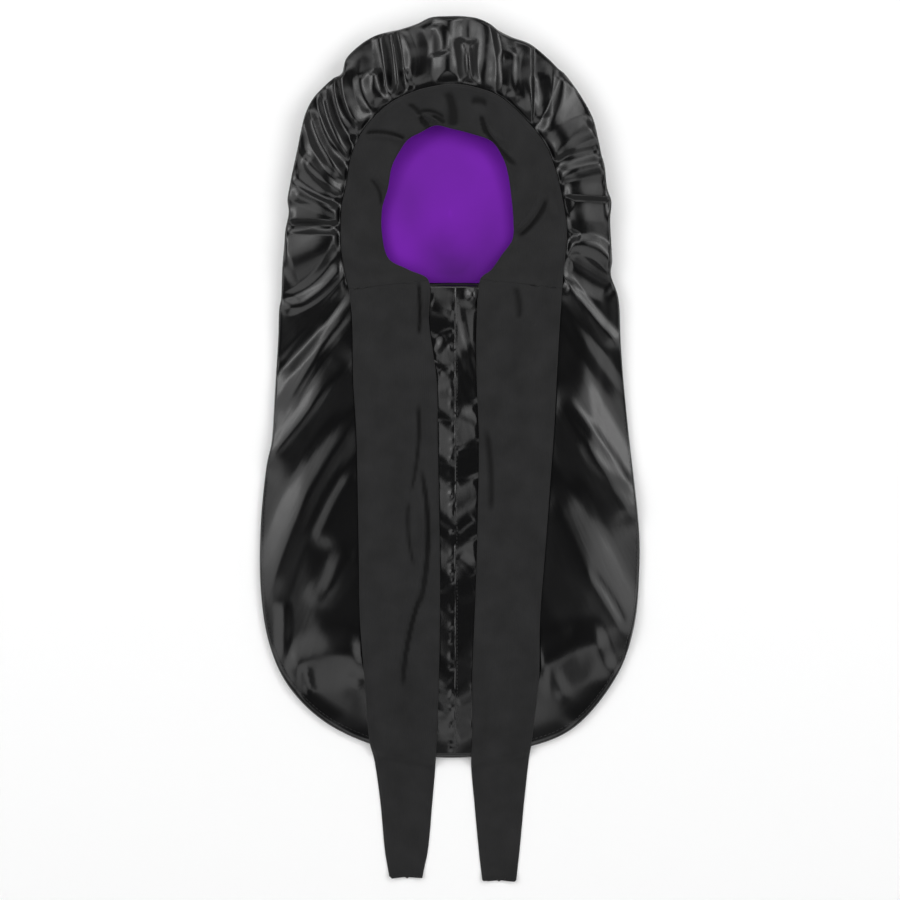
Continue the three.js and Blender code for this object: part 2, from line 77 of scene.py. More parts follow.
class Held(Enum):
    """How a sheet of cloth is held on the bonnet."""

    GATHERED = "gathered"
    LAID = "laid"


class StripPart(Enum):
    """The pieces that the jersey strip is cut into, each with the plain solid that it replaces."""

    LEFT_TIE = "left_tie_jersey", "tie_left"
    BAND = "band_jersey", "face_band"
    RIGHT_TIE = "right_tie_jersey", "tie_right"


# The face opening, clockwise from the lower left, in millimetres: the band's outer edge, where the
# satin is gathered in, then the opening's own edge. The last three rows run under the opening.
LOOP = np.array([
    # edge x, edge y, open x, open y
    (-91, 144, -19, 152), (-95, 163, -37, 162), (-98, 184, -55, 172), (-98, 202, -61, 193),
    (-97, 220, -61, 217), (-93, 238, -56, 234), (-88, 265, -52, 255), (-76, 289, -44, 270),
    (-55, 310, -37, 279), (-33, 321, -26, 285), (-14, 326, -13, 291), (4, 328, 2, 288),
    (23, 325, 18, 284), (44, 317, 37, 277), (64, 300, 47, 263), (84, 276, 52, 248),
    (94, 253, 55, 228), (101, 225, 57, 205), (105, 198, 56, 189), (104, 178, 47, 176),
    (102, 160, 37, 162), (101, 145, 27, 153), (54, 143, 15, 151), (5, 142, 5, 150),
    (-45, 143, -7, 151),
], float)
BAND_LAST_ROW = 21

# The satin's main folds, clockwise from the left shoulder, in millimetres: where each meets the
# outline, the row of LOOP where it is sewn in, and its height above or below the puff.
FOLDS = np.array([
    # rim x, rim y, sewn at, crest
    (-154, 126, 0.9, 2), (-152, 138, 1.6, -4), (-151, 163, 2.0, 5), (-149, 186, 2.3, 0),
    (-148, 198, 2.6, -6), (-145, 213, 2.95, 5), (-146, 225, 3.3, -2), (-144, 237, 3.65, 4),
    (-141, 252, 3.95, -5), (-137, 270, 4.35, 3), (-134, 285, 4.9, -2), (-130, 301, 5.45, 4),
    (-123, 315, 6.0, -3), (-114, 325, 6.4, 4), (-105, 333, 6.8, -2), (-97, 338, 7.2, -6),
    (-93, 351, 7.55, 4), (-81, 363, 7.9, 4), (-68, 371, 8.2, -6), (-55, 375, 8.45, 6),
    (-45, 377, 8.7, -4), (-30, 382, 9.25, 6), (-17, 388, 9.8, 3), (-2, 389, 10.5, -5),
    (12, 389, 11.2, 5), (25, 387, 11.75, 1), (36, 382, 12.2, -5), (44, 376, 12.65, 3),
    (56, 370, 13.25, 6), (72, 364, 14.15, -6), (88, 351, 14.45, 4), (97, 342, 14.7, -2),
    (104, 336, 14.9, 6), (117, 318, 15.2, 1), (128, 298, 15.5, -3), (133, 279, 15.75, 4),
    (136, 265, 16.0, -3), (139, 254, 16.3, 4), (141, 236, 16.7, 1), (145, 223, 17.05, -6),
    (144, 207, 17.45, 4), (145, 187, 17.95, -3), (146, 170, 18.45, 6), (145, 157, 19.0, -4),
    (152, 135, 19.5, 1), (154, 97, 20.0, 5), (157, 58, 20.6, -2), (162, 9, 21.4, -1),
    (170, -62, 21.9, 5), (171, -108, 22.3, -2), (166, -161, 22.55, 4), (149, -207, 22.7, -1),
    (113, -250, 22.82, 1), (68, -269, 22.92, 0), (5, -278, 23.0, 0), (-54, -271, 23.08, 0),
    (-108, -249, 23.18, 1), (-144, -216, 23.3, -1), (-163, -176, 23.5, 0), (-171, -126, 23.8, 5),
    (-171, -68, 24.15, -2), (-166, -16, 24.5, 1), (-161, 9, 24.8, 5), (-158, 54, 25.3, -2),
    (-155, 99, 25.6, 1),
], float)

# The ties, in millimetres, from the ends of the band down to their raw cut ends
LEFT_TIE = np.array([
    # y, outer x, inner x
    (117, -88, -19), (63, -87, -12), (9, -84, -11), (-99, -82, -9), (-153, -81, -9),
    (-207, -77, -10), (-261, -73, -12), (-283, -68, -13), (-319, -63, -16), (-362, -59, -20),
    (-386, -55, -25),
], float)
RIGHT_TIE = np.array([
    # y, outer x, inner x
    (117, 99, 24), (63, 96, 24), (9, 93, 26), (-99, 85, 24), (-153, 81, 22), (-207, 80, 20),
    (-261, 74, 20), (-283, 71, 19), (-319, 67, 22), (-362, 63, 26), (-389, 60, 29),
], float)

# Tables of folds, in millimetres: x0, y0, x1, y1, bend, left width, right width, height.
# The satin's run from the seam outwards, the crown's clockwise from the left shoulder.

CROWN_CREASES = np.array([
    (-98, 186, -149, 135, 9, 10, 6, -3.4), (-96, 168, -151, 126, 6, 6, 12, 2.8),
    (-97, 190, -150, 170, 2, 22, 16, 4.0), (-97, 199, -147, 201, 0, 5, 5, -2.6),
    (-97, 206, -144, 208, -1, 4, 9, 2.0), (-96, 211, -142, 231, 1, 5, 6, 2.2),
    (-97, 223, -141, 249, 3, 5, 7, -2.4),
    (-93, 230, -130, 262, 3, 5, 7, 2.6), (-96, 232, -133, 279, 5, 5, 8, -1.6),
    (-93, 242, -125, 303, 6, 6, 9, 3.0), (-90, 251, -120, 312, 6, 5, 5, -2.4),
    (-88, 262, -115, 320, 5, 4, 7, 3.0), (-83, 272, -104, 336, 6, 6, 6, -3.2),
    (-78, 289, -96, 345, 8, 5, 12, 3.6), (-70, 303, -80, 336, 2, 6, 5, -2.2),
    (-57, 311, -66, 340, 2, 6, 5, 2.0), (-61, 318, -63, 380, -3, 7, 6, -3.0),
    (-47, 317, -60, 392, -4, 8, 5, 4.0), (-42, 321, -46, 378, -8, 5, 5, 1.6),
    (-35, 321, -41, 340, 0, 4, 4, -1.8), (-9, 354, -16, 381, -4, 9, 7, -2.4),
    (1, 327, 0, 396, 0, 12, 12, -3.2), (14, 328, 10, 368, -2, 6, 5, 2.8),
    (22, 327, 20, 367, 3, 4, 5, 2.2), (35, 325, 30, 392, 2, 10, 9, -1.4),
    (46, 313, 39, 390, -5, 5, 9, 3.6), (52, 316, 52, 355, 0, 7, 7, -2.6),
    (60, 312, 58, 358, 3, 6, 6, 2.0), (66, 301, 64, 380, 0, 12, 10, 2.0),
    (73, 294, 73, 374, 0, 9, 1.5, 2.6), (83, 298, 80, 336, 0, 7, 7, -2.0),
    (81, 281, 102, 337, -8, 8, 16, 4.4), (82, 284, 114, 329, -4, 12, 16, -3.0),
    (91, 263, 131, 288, 4, 12, 7, 3.4), (92, 253, 135, 267, 2, 6, 9, -2.4),
    (94, 244, 139, 257, 3, 9, 7, 2.8), (97, 236, 142, 240, 0, 6, 12, -1.4),
    (102, 224, 144, 222, 0, 4, 13, -3.2), (103, 229, 145, 228, 0, 9, 5, 1.6),
    (101, 196, 117, 191, 1, 3, 5, -1.4), (104, 182, 147, 166, 10, 8, 8, 3.0),
    (104, 171, 146, 142, -3, 10, 9, -2.6),
], float)

FRONT_CREASES = np.array([
    # the long folds of the lower front, left and then right
    (-92, 142, -156, 69, 3, 9, 9, -2.4), (-88, 135, -158, 41, -4, 10, 12, 2.2),
    (-92, 120, -146, 40, -3, 7, 8, 1.2), (-84, 86, -168, -16, -3, 26, 36, 5.0),
    (-110, 60, -160, -4, 2, 5, 9, 0.8),
    (-84, 27, -162, -132, -10, 15, 18, 3.0), (-84, -18, -118, -84, -3, 30, 13, 2.6),
    (-88, -90, -120, -140, 3, 12, 16, 1.4), (-150, -138, -152, -192, 2, 5, 8, 1.5),
    (-146, -196, -80, -182, 4, 20, 26, 4.2), (-88, -200, -80, -256, 3, 9, 12, -2.2),
    (-160, -196, -112, -256, -8, 22, 10, 2.0),
    (-131, -196, -126, -221, 0, 5, 5, -1.6), (-100, -95, -112, -130, 2, 7, 9, 0.9),
    (104, 153, 152, 95, -2, 7, 12, 2.4), (102, 130, 156, 50, -3, 9, 9, 0.9),
    (95, 53, 171, -66, -4, 30, 28, 5.0), (108, 44, 168, -40, 2, 4, 7, 0.9),
    (121, 10, 161, -30, -6, 8, 8, 0.9), (91, -36, 162, -176, -5, 28, 40, 5.0),
    (128, -110, 158, -158, 2, 4, 5, -0.8), (78, -194, 142, -176, 3, 22, 26, 4.4),
    (112, -252, 156, -196, -8, 22, 10, 2.0),
    (92, -200, 106, -226, 0, 6, 8, -1.0),
], float)

JERSEY_CREASES = np.array([
    # round the band
    (-75, 284, -40, 279, 3, 2, 3, -1.4), (-75, 281, -42, 276, 3, 2, 4, 0.8),
    (-37, 310, -24, 293, 3, 2, 3, -1.3), (-28, 303, -5, 298, 3, 2, 2, -1.2),
    (-30, 299, -12, 294, 2, 2, 3, 1.2), (-2, 321, 3, 290, 2, 5, 6, -1.3),
    (19, 312, 33, 310, 2, 4, 4, -1.0), (27, 300, 59, 256, -4, 2, 3, -1.6),
    (24, 304, 50, 276, -4, 3, 4, 0.8), (59, 196, 82, 230, -3, 3, 4, 1.3),
    (62, 192, 88, 226, -3, 3, 3, -1.2), (88, 232, 96, 208, -2, 4, 5, 0.8),
    (-71, 243, -62, 220, 3, 2, 2, -1.0), (-66, 246, -58, 222, 3, 2, 2, 0.8),
    (-27, 299, -18, 287, 0, 3, 3, -1.8), (-16, 299, -5, 293, 1, 2.5, 2.5, -1.4),
    (28, 299, 32, 284, 0, 2.5, 2.5, -1.8),
    # down the left tie
    (-28, 149, -28, 104, 1, 2, 2, -1.3), (-24, 147, -23, 120, 1, 2, 3, 0.9),
    (-28, 40, -36, -41, 3, 2, 3, -1.4), (-32, 30, -39, -50, 3, 3, 4, 0.8),
    (-25, -20, -26, -138, 6, 2, 3, -1.8), (-28, -30, -31, -130, 5, 3, 4, 1.0),
    (-26, -130, -42, -211, -3, 2, 3, -1.7), (-31, -132, -47, -205, -3, 3, 5, 0.9),
    (-37, -45, -32, -105, -3, 2, 2, -0.9), (-47, -150, -56, -240, -2, 5, 6, 0.7),
    (-62, 60, -58, -90, 3, 12, 12, 0.8), (-66, -180, -58, -330, 3, 6, 8, 0.7),
    # down the right tie
    (59, 146, 62, 118, 2, 3, 4, -0.8), (84, 150, 72, 112, -2, 4, 4, 0.7),
    (33, 18, 37, -55, 2, 3, 4, -0.8), (62, 70, 58, -80, 3, 12, 14, 0.7),
    (48, -200, 44, -330, -2, 9, 9, 0.6),
], float)

# How steeply the panel falls away from the front seam, down its length: y in millimetres, slope
PANEL_LEFT = np.array([
    (150, 0.02), (140, 0.16), (124, 0.18), (116, 0.0), (96, 0.02), (88, 0.20), (72, 0.17), (70, 0.05),
    (66, 0.05), (62, 0.19), (30, 0.17), (26, 0.03), (20, 0.03), (14, 0.19), (-10, 0.20), (-16, 0.04),
    (-30, 0.06), (-38, 0.20), (-60, 0.18), (-68, 0.03), (-84, 0.05), (-92, 0.20), (-112, 0.16), (-120, 0.02),
    (-150, 0.05), (-158, 0.17), (-168, 0.04), (-190, 0.14), (-200, 0.02), (-214, 0.04), (-222, 0.16),
    (-234, 0.14), (-242, 0.02), (-262, 0.08), (-275, 0.02),
], float)
PANEL_RIGHT = np.array([
    (150, 0.02), (134, 0.18), (92, 0.20), (80, 0.0), (40, -0.02), (30, 0.19), (4, 0.17), (-2, 0.0),
    (-28, 0.01), (-36, 0.20), (-50, 0.12), (-58, 0.17), (-68, 0.02), (-84, 0.03), (-90, 0.20), (-106, 0.16),
    (-118, 0.0), (-176, 0.03), (-190, 0.10), (-214, 0.08), (-224, 0.14), (-252, 0.17), (-275, 0.05),
], float)

# Folds across the panel, with the same columns as the satin's: left of the seam, then right of it
SEAM_CREASES = np.array([
    (4, 128, -17, 132, 2, 8, 5, 2.0), (4, 108, -14, 98, -2, 5, 3, -1.8), (-6, 104, -14, 88, 2, 4, 6, 1.6),
    (3, 74, -10, 70, -1, 4, 3, -1.4), (3, 58, -14, 52, 1, 6, 5, 1.0), (3, 24, -14, 26, 0, 4, 3, -1.4),
    (2, -8, -12, -4, 1, 5, 7, 1.2), (3, -40, -14, -34, 1, 7, 4, 1.2), (2, -74, -12, -66, 1, 5, 4, -1.2),
    (3, -96, -13, -84, 2, 8, 5, 1.4), (1, -118, -10, -126, 0, 5, 4, 1.0), (2, -160, -12, -152, 0, 6, 4, 1.2),
    (2, -206, -14, -196, 1, 8, 6, 1.0), (2, -240, -14, -250, 1, 9, 6, 1.0),
    (8, 136, 26, 58, -3, 4, 7, -1.8), (7, 116, 18, 84, -2, 6, 5, 1.6), (8, 70, 24, 34, -2, 7, 9, -1.6),
    (6, 34, 26, 24, 1, 7, 4, 1.2), (6, -4, 26, 2, 1, 5, 4, -1.4), (6, -30, 24, -26, 0, 4, 5, -1.2),
    (7, -74, 22, -62, 1, 6, 3, 1.6), (6, -96, 22, -112, 2, 7, 5, 1.6), (7, -132, 22, -128, 0, 9, 7, 0.7),
    (6, -182, 22, -190, 1, 8, 8, 0.9), (6, -226, 22, -216, 0, 9, 6, 1.2), (6, -258, 22, -250, 1, 8, 6, 1.0),
], float)

# Slow waves over the plan: height, radians a metre along x and along y, start in radians, and the
# bend of the crests: its size in radians and its own radians a metre along y
LINING_WAVES = ((1.0, 38, 0, 0.0, 1.3, 21), (0.8, -17, 33, 0.6, 0.0, 0), (0.5, 71, -26, 2.0, 0.0, 0))
JERSEY_WAVES = ((1.0, 210, 0, 0.0, 2.0, 17), (1.0, 97, -31, 1.0, 0.0, 0), (1.0, 41, 58, 0.0, 0.0, 0))

# The lining's painted shade, darker patches painted where fold shadows fall: middle x, middle y, half width,
# half length (mm), darkness
LINING_PAINTED_SHADES = ((6, 160, 30, 17, 0.62), (40, 186, 18, 26, 0.30), (-38, 226, 16, 22, 0.22),
                 (-12, 182, 20, 14, 0.22))


# Curves and profiles

def smooth(value: Array, low: float | Array, high: float | Array) -> Array:
    """Eased step: 0 below low, 1 above high, and 3t^2 - 2t^3 of the share t between them."""
    share = np.clip((value - low) / (high - low), 0.0, 1.0)
    return share * share * (3.0 - 2.0 * share)


def mix(low: float | Array, high: float | Array, share: float | Array) -> Array:
    """Straight blend from low to high."""
    return low + (high - low) * share


def round_rise(share: Array) -> Array:
    """Quarter circle: the square root of 1 - (1 - t)^2, held at 0 before 0 and at 1 past 1."""
    rest = 1.0 - np.clip(share, 0.0, 1.0)
    return np.sqrt(1.0 - rest * rest)


def ease_up(share: Array) -> Array:
    """Quarter sine wave: 0 before 0, 1 past 1, with a firm slope at the start and none at the end."""
    return np.sin(0.5 * np.pi * np.clip(share, 0.0, 1.0))


def rounded(value: Array, corner: float) -> Array:
    """The value where it is above 0, else 0, with a round corner: half of v + root of v^2 + c^2."""
    return 0.5 * (value + np.sqrt(value * value + corner * corner))


def soft_ramp(share: Array, corner: float = 0.1) -> Array:
    """Straight ramp from 0 to 1 with both corners rounded, by a tenth of its run."""
    low = rounded(share, corner)
    return np.maximum(0.0, low - rounded(low - 1.0, corner))


def bump(offset: Array, width: Array | float) -> Array:
    """Bell curve: e to the power of minus the square of offset over width."""
    return np.exp(-np.square(offset / width))


def waves(x: Array, y: Array, table: tuple[tuple[float, ...], ...]) -> Array:
    """Sum of waves over the plan, each its height times the sine of its turns of x and y."""
    return sum(high * np.sin(of_x * x + of_y * y + start + bend * np.sin(of_bend * y))
               for high, of_x, of_y, start, bend, of_bend in table)


def closed_curve(table: Array, rows: Array) -> Array:
    """Reads a closed table at fractional row numbers, along a smooth curve through its rows.

    Between two rows p1 and p2 with outer neighbours p0 and p3 the curve is the cubic that passes
    through both with the slopes (p2 - p0) / 2 and (p3 - p1) / 2.

    Args:
        table: One row for each point of the curve.
        rows: Fractional row numbers, which wrap round.

    Returns:
        One row of values for each row number.
    """
    whole = np.floor(rows).astype(int)
    t = (rows - whole)[:, None]
    p0, p1, p2, p3 = (table[(whole + shift) % len(table)] for shift in (-1, 0, 1, 2))
    return 0.5 * (2 * p1 + (p2 - p0) * t + (2 * p0 - 5 * p1 + 4 * p2 - p3) * t**2
                  + (3 * p1 - p0 - 3 * p2 + p3) * t**3)


def path_curve(points: Array, at: Array, chord: Array) -> Array:
    """Reads a path between unevenly spaced points, along a smooth curve through them.

    Between two points the curve is the cubic with their places and slopes, where the slope at a
    point is the step from its one neighbour to the other over the way between them.

    Args:
        points: Points of the path, in plan.
        at: Ways along the path.
        chord: The way along the path at each point.

    Returns:
        One plan point for each way.
    """
    slopes = np.empty_like(points)
    slopes[1:-1] = (points[2:] - points[:-2]) / (chord[2:] - chord[:-2])[:, None]
    slopes[0] = (points[1] - points[0]) / (chord[1] - chord[0])
    slopes[-1] = (points[-1] - points[-2]) / (chord[-1] - chord[-2])
    k = np.clip(np.searchsorted(chord, at, side="right") - 1, 0, len(points) - 2)
    span = (chord[k + 1] - chord[k])[:, None]
    t = (at - chord[k])[:, None] / span
    return ((2 * t**3 - 3 * t**2 + 1) * points[k] + (t**3 - 2 * t**2 + t) * span * slopes[k]
            + (3 * t**2 - 2 * t**3) * points[k + 1] + (t**3 - t**2) * span * slopes[k + 1])


def way_along(points: Array) -> Array:
    """Way from the first point of a path to each of its points: the sum of the steps before it."""
    return np.concatenate([[0.0], np.cumsum(np.linalg.norm(np.diff(points, axis=0), axis=1))])


def edge_shares(count: int) -> Array:
    """Shares across a strip, closer together at both edges: even ones blended with 1 - cos."""
    even = np.linspace(0.0, 1.0, count)
    return 0.5 * even + 0.25 * (1.0 - np.cos(np.linspace(0.0, np.pi, count)))


def seam_height(y: Array) -> Array:
    """Height of the seam between satin and band, which lifts a little towards the crown."""
    return SEAM_Z + SEAM_RISE * smooth(y, *SEAM_RISE_YS)


# Meshes

def add_mesh(name: str, points: Array, quads: Array, uv: Array,
             triangles: Array = NO_TRIANGLES) -> bpy.types.Object:
    """Makes a smooth-shaded object from arrays, with faces pointing out.

    The signed volume, the sum of a . (b x c) over the faces' triangles, tells which way they
    point, and they are all turned round where it is negative.

    Args:
        name: Name of the object and of its mesh.
        points: Three coordinates in metres for each vertex.
        quads: Four corners for each quad.
        uv: Two pattern coordinates in metres for each vertex.
        triangles: Three corners for each triangle.

    Returns:
        The new object, linked to the scene.
    """
    corners = points[np.concatenate([quads[:, [0, 1, 2]], quads[:, [0, 2, 3]], triangles])]
    if np.einsum("ij,ij->", corners[:, 0], np.cross(corners[:, 1], corners[:, 2])) < 0:
        quads, triangles = quads[:, ::-1], triangles[:, ::-1]
    loops = np.concatenate([quads.ravel(), triangles.ravel()])
    sizes = np.repeat([4, 3], [len(quads), len(triangles)])
    mesh = bpy.data.meshes.new(name)
    mesh.vertices.add(len(points))
    mesh.vertices.foreach_set("co", points.astype(np.float32).ravel())
    mesh.loops.add(len(loops))
    mesh.loops.foreach_set("vertex_index", loops.astype(np.int32))
    mesh.polygons.add(len(sizes))
    mesh.polygons.foreach_set("loop_start", (np.cumsum(sizes) - sizes).astype(np.int32))
    mesh.polygons.foreach_set("use_smooth", np.ones(len(sizes), bool))
    layer = mesh.uv_layers.new(name="cloth")
    layer.uv.foreach_set("vector", uv[loops].astype(np.float32).ravel())
    mesh.update(calc_edges=True)
    mesh.validate()
    piece = bpy.data.objects.new(name, mesh)
    bpy.context.scene.collection.objects.link(piece)
    return piece


def ring_piece(name: str, rings: Array, uv: Array,
               poles: tuple[Array, Array] | None = None) -> bpy.types.Object:
    """Makes a closed piece from loops of equal length, joined one after the other.

    Each end is closed by a fan to its pole, or to the middle of its own last loop.

    Args:
        name: Name of the piece.
        rings: Points with the shape (loops, points in a loop, 3), in metres.
        uv: Pattern coordinates with the shape (loops, points in a loop, 2), in metres.
        poles: The points that close the first and the last loop, or None for their middles.

    Returns:
        The new object.
    """
    loops, around, _ = rings.shape
    ends = poles or (rings[0].mean(axis=0), rings[-1].mean(axis=0))
    points = np.concatenate([rings.reshape(-1, 3), ends])
    flat_uv = np.concatenate([uv.reshape(-1, 2), [uv[0].mean(axis=0), uv[-1].mean(axis=0)]])
    step = np.arange(around)
    after = (step + 1) % around
    start = around * np.arange(loops - 1)[:, None]
    a, b = (start + step).ravel(), (start + after).ravel()
    quads = np.stack([a, b, b + around, a + around], axis=1)
    base = (loops - 1) * around
    near = np.stack([np.full(around, base + around), after, step], axis=1)
    far = np.stack([np.full(around, base + around + 1), base + step, base + after], axis=1)
    return add_mesh(name, points, quads, flat_uv, np.concatenate([near, far]))


def add_painted_shade(piece: bpy.types.Object, painted_shade: Array) -> None:
    """Keeps a painted shade at each point of a ring piece: a darkness from 0 to 1 that the material paints
    into the colour where shade falls, and 0 at its two poles.

    Args:
        piece: The piece, made by ring_piece.
        painted_shade: Darkness with the shape (loops, points in a loop).
    """
    values = np.concatenate([np.clip(painted_shade, 0.0, 1.0).ravel(), [0.0, 0.0]])
    layer = piece.data.attributes.new("painted_shade", "FLOAT", "POINT")
    layer.data.foreach_set("value", values.astype(np.float32))


def flat_ends(piece: bpy.types.Object, loops: int, around: int) -> None:
    """Shades the two end caps of a ring piece flat, so that they leave the sides' shading alone.

    Args:
        piece: The piece, made by ring_piece.
        loops: Number of its loops.
        around: Number of points in a loop.
    """
    smooth_faces = np.ones(len(piece.data.polygons), bool)
    smooth_faces[(loops - 1) * around:] = False
    piece.data.polygons.foreach_set("use_smooth", smooth_faces)
    piece.data.update()


@dataclass(frozen=True)
class HeightMap:
    """Heights on a square grid over the plan, read between its cells in straight blends."""

    low: Array
    cell: float
    heights: Array

    @classmethod
    def over(cls, points: Array, cell: float, spread: int, margin: float = 140 * MM) -> "HeightMap":
        """Maps scattered points: the highest in each cell, spread to its neighbours and evened.

        Each round of spreading takes the highest of a cell and its eight neighbours, and each
        round of evening takes the mean of a cell and its four neighbours.

        Args:
            points: Points of the surface, in metres.
            cell: Width of a cell in metres.
            spread: Number of rounds of spreading.
            margin: Width of the empty border round the points.

        Returns:
            The map, at 0 where there is no surface.
        """
        low = points[:, :2].min(axis=0) - margin
        size = np.ceil((points[:, :2].max(axis=0) + margin - low) / cell).astype(int) + 1
        heights = np.zeros(size)
        index = np.round((points[:, :2] - low) / cell).astype(int)
        np.maximum.at(heights, (index[:, 0], index[:, 1]), points[:, 2])
        for _ in range(spread):
            wide = np.maximum.reduce([np.roll(heights, s, axis=0) for s in (-1, 0, 1)])
            heights = np.maximum.reduce([np.roll(wide, s, axis=1) for s in (-1, 0, 1)])
        for _ in range(2 * spread):
            around = sum(np.roll(heights, s, axis=a) for s in (-1, 1) for a in (0, 1))
            heights = 0.2 * (heights + around)
        return cls(low, cell, heights)

    def at(self, x: Array, y: Array) -> Array:
        """Height over plan points, blended from the four cells around each.

        Args:
            x: Plan coordinates in metres.
            y: Plan coordinates in metres.

        Returns:
            The height at each point.
        """
        gx, gy = (np.clip((value - low) / self.cell, 0, count - 1.001)
                  for value, low, count in zip((x, y), self.low, self.heights.shape))
        ix, iy = gx.astype(int), gy.astype(int)
        near, far = (mix(self.heights[ix, iy + k], self.heights[ix + 1, iy + k], gx - ix)
                     for k in (0, 1))
        return mix(near, far, gy - iy)


@dataclass(frozen=True)
class Creases:
    """Folds listed over the plan, each a ridge along a bent line.

    A row of the table holds the ends of the line, how far its middle bends to the left, the
    ridge's width to the left and to the right of its crest, and its height, in millimetres.
    Unequal widths make one flank steep and the other gentle. Crest and foot are rounded by a
    share of the flank's width.
    """

    table: Array
    crest_round: float = 0.15
    strength: float = 1.0
    foot_round: float = 0.08
    start: Pair = (-0.06, 0.14)
    end: Pair = (0.86, 1.06)

    def height(self, x: Array, y: Array) -> Array:
        """Sum of the ridges over plan points.

        With t the distance from the line over the flank's width, a ridge is its height times
        1 - t with both the crest and the foot rounded off, and an eased step at each end.

        Args:
            x: Plan coordinates in metres.
            y: Plan coordinates in metres.

        Returns:
            Height to add, in metres.
        """
        total = np.zeros_like(x)
        for x0, y0, x1, y1, bend, left, right, high in self.table * MM:
            along_x, along_y = x1 - x0, y1 - y0
            length = np.hypot(along_x, along_y)
            along_x, along_y = along_x / length, along_y / length
            share = ((x - x0) * along_x + (y - y0) * along_y) / length
            offset = (y - y0) * along_x - (x - x0) * along_y - 4.0 * bend * share * (1.0 - share)
            t = offset / np.where(offset > 0, left, right)
            slant = 1.0 + self.crest_round - np.sqrt(np.square(t) + self.crest_round**2)
            across = rounded(slant, self.foot_round) - 0.5 * self.foot_round
            total += high * across * smooth(share, *self.start) * (1.0 - smooth(share, *self.end))
        return self.strength * total


@dataclass(frozen=True)
class Pleats:
    """Small gathers along the seam, drawn at random from a seed.

    The widths are in rows of LOOP, the leans in rows a metre, and the full height is held for a
    share of the reach.
    """

    first_row: float = 5.5
    last_row: float = 20.4
    count: int = 16
    seed: int = 7
    widths: Pair = (0.12, 0.20)
    heights: Pair = (0.4 * MM, 1.0 * MM)
    reaches: Pair = (9 * MM, 18 * MM)
    signs: tuple[float, ...] = (1.0, 1.0, -0.8)
    leans: Pair = (-6.0, 6.0)
    held: float = 0.3

    def height_at(self, rows: Array, from_seam: Array) -> Array:
        """Sum of the pleats at rows of LOOP and distances from the seam.

        Each is a ridge of bell section across the rows, less an eased step to its reach.

        Args:
            rows: Row of LOOP where each section is sewn in.
            from_seam: Distances from the seam in metres, (points in a section, sections).

        Returns:
            Height to add, in metres.
        """
        draw = np.random.default_rng(self.seed)
        at = np.sort(draw.uniform(self.first_row, self.last_row, self.count))
        total = np.zeros_like(from_seam)
        for row in at:
            width, reach = draw.uniform(*self.widths), draw.uniform(*self.reaches)
            height = draw.uniform(*self.heights) * draw.choice(self.signs)
            across = bump(rows[None] - row - draw.uniform(*self.leans) * from_seam, width)
            total += height * across * (1.0 - smooth(from_seam, self.held * reach, reach))
        return total


# The satin bag and its lining

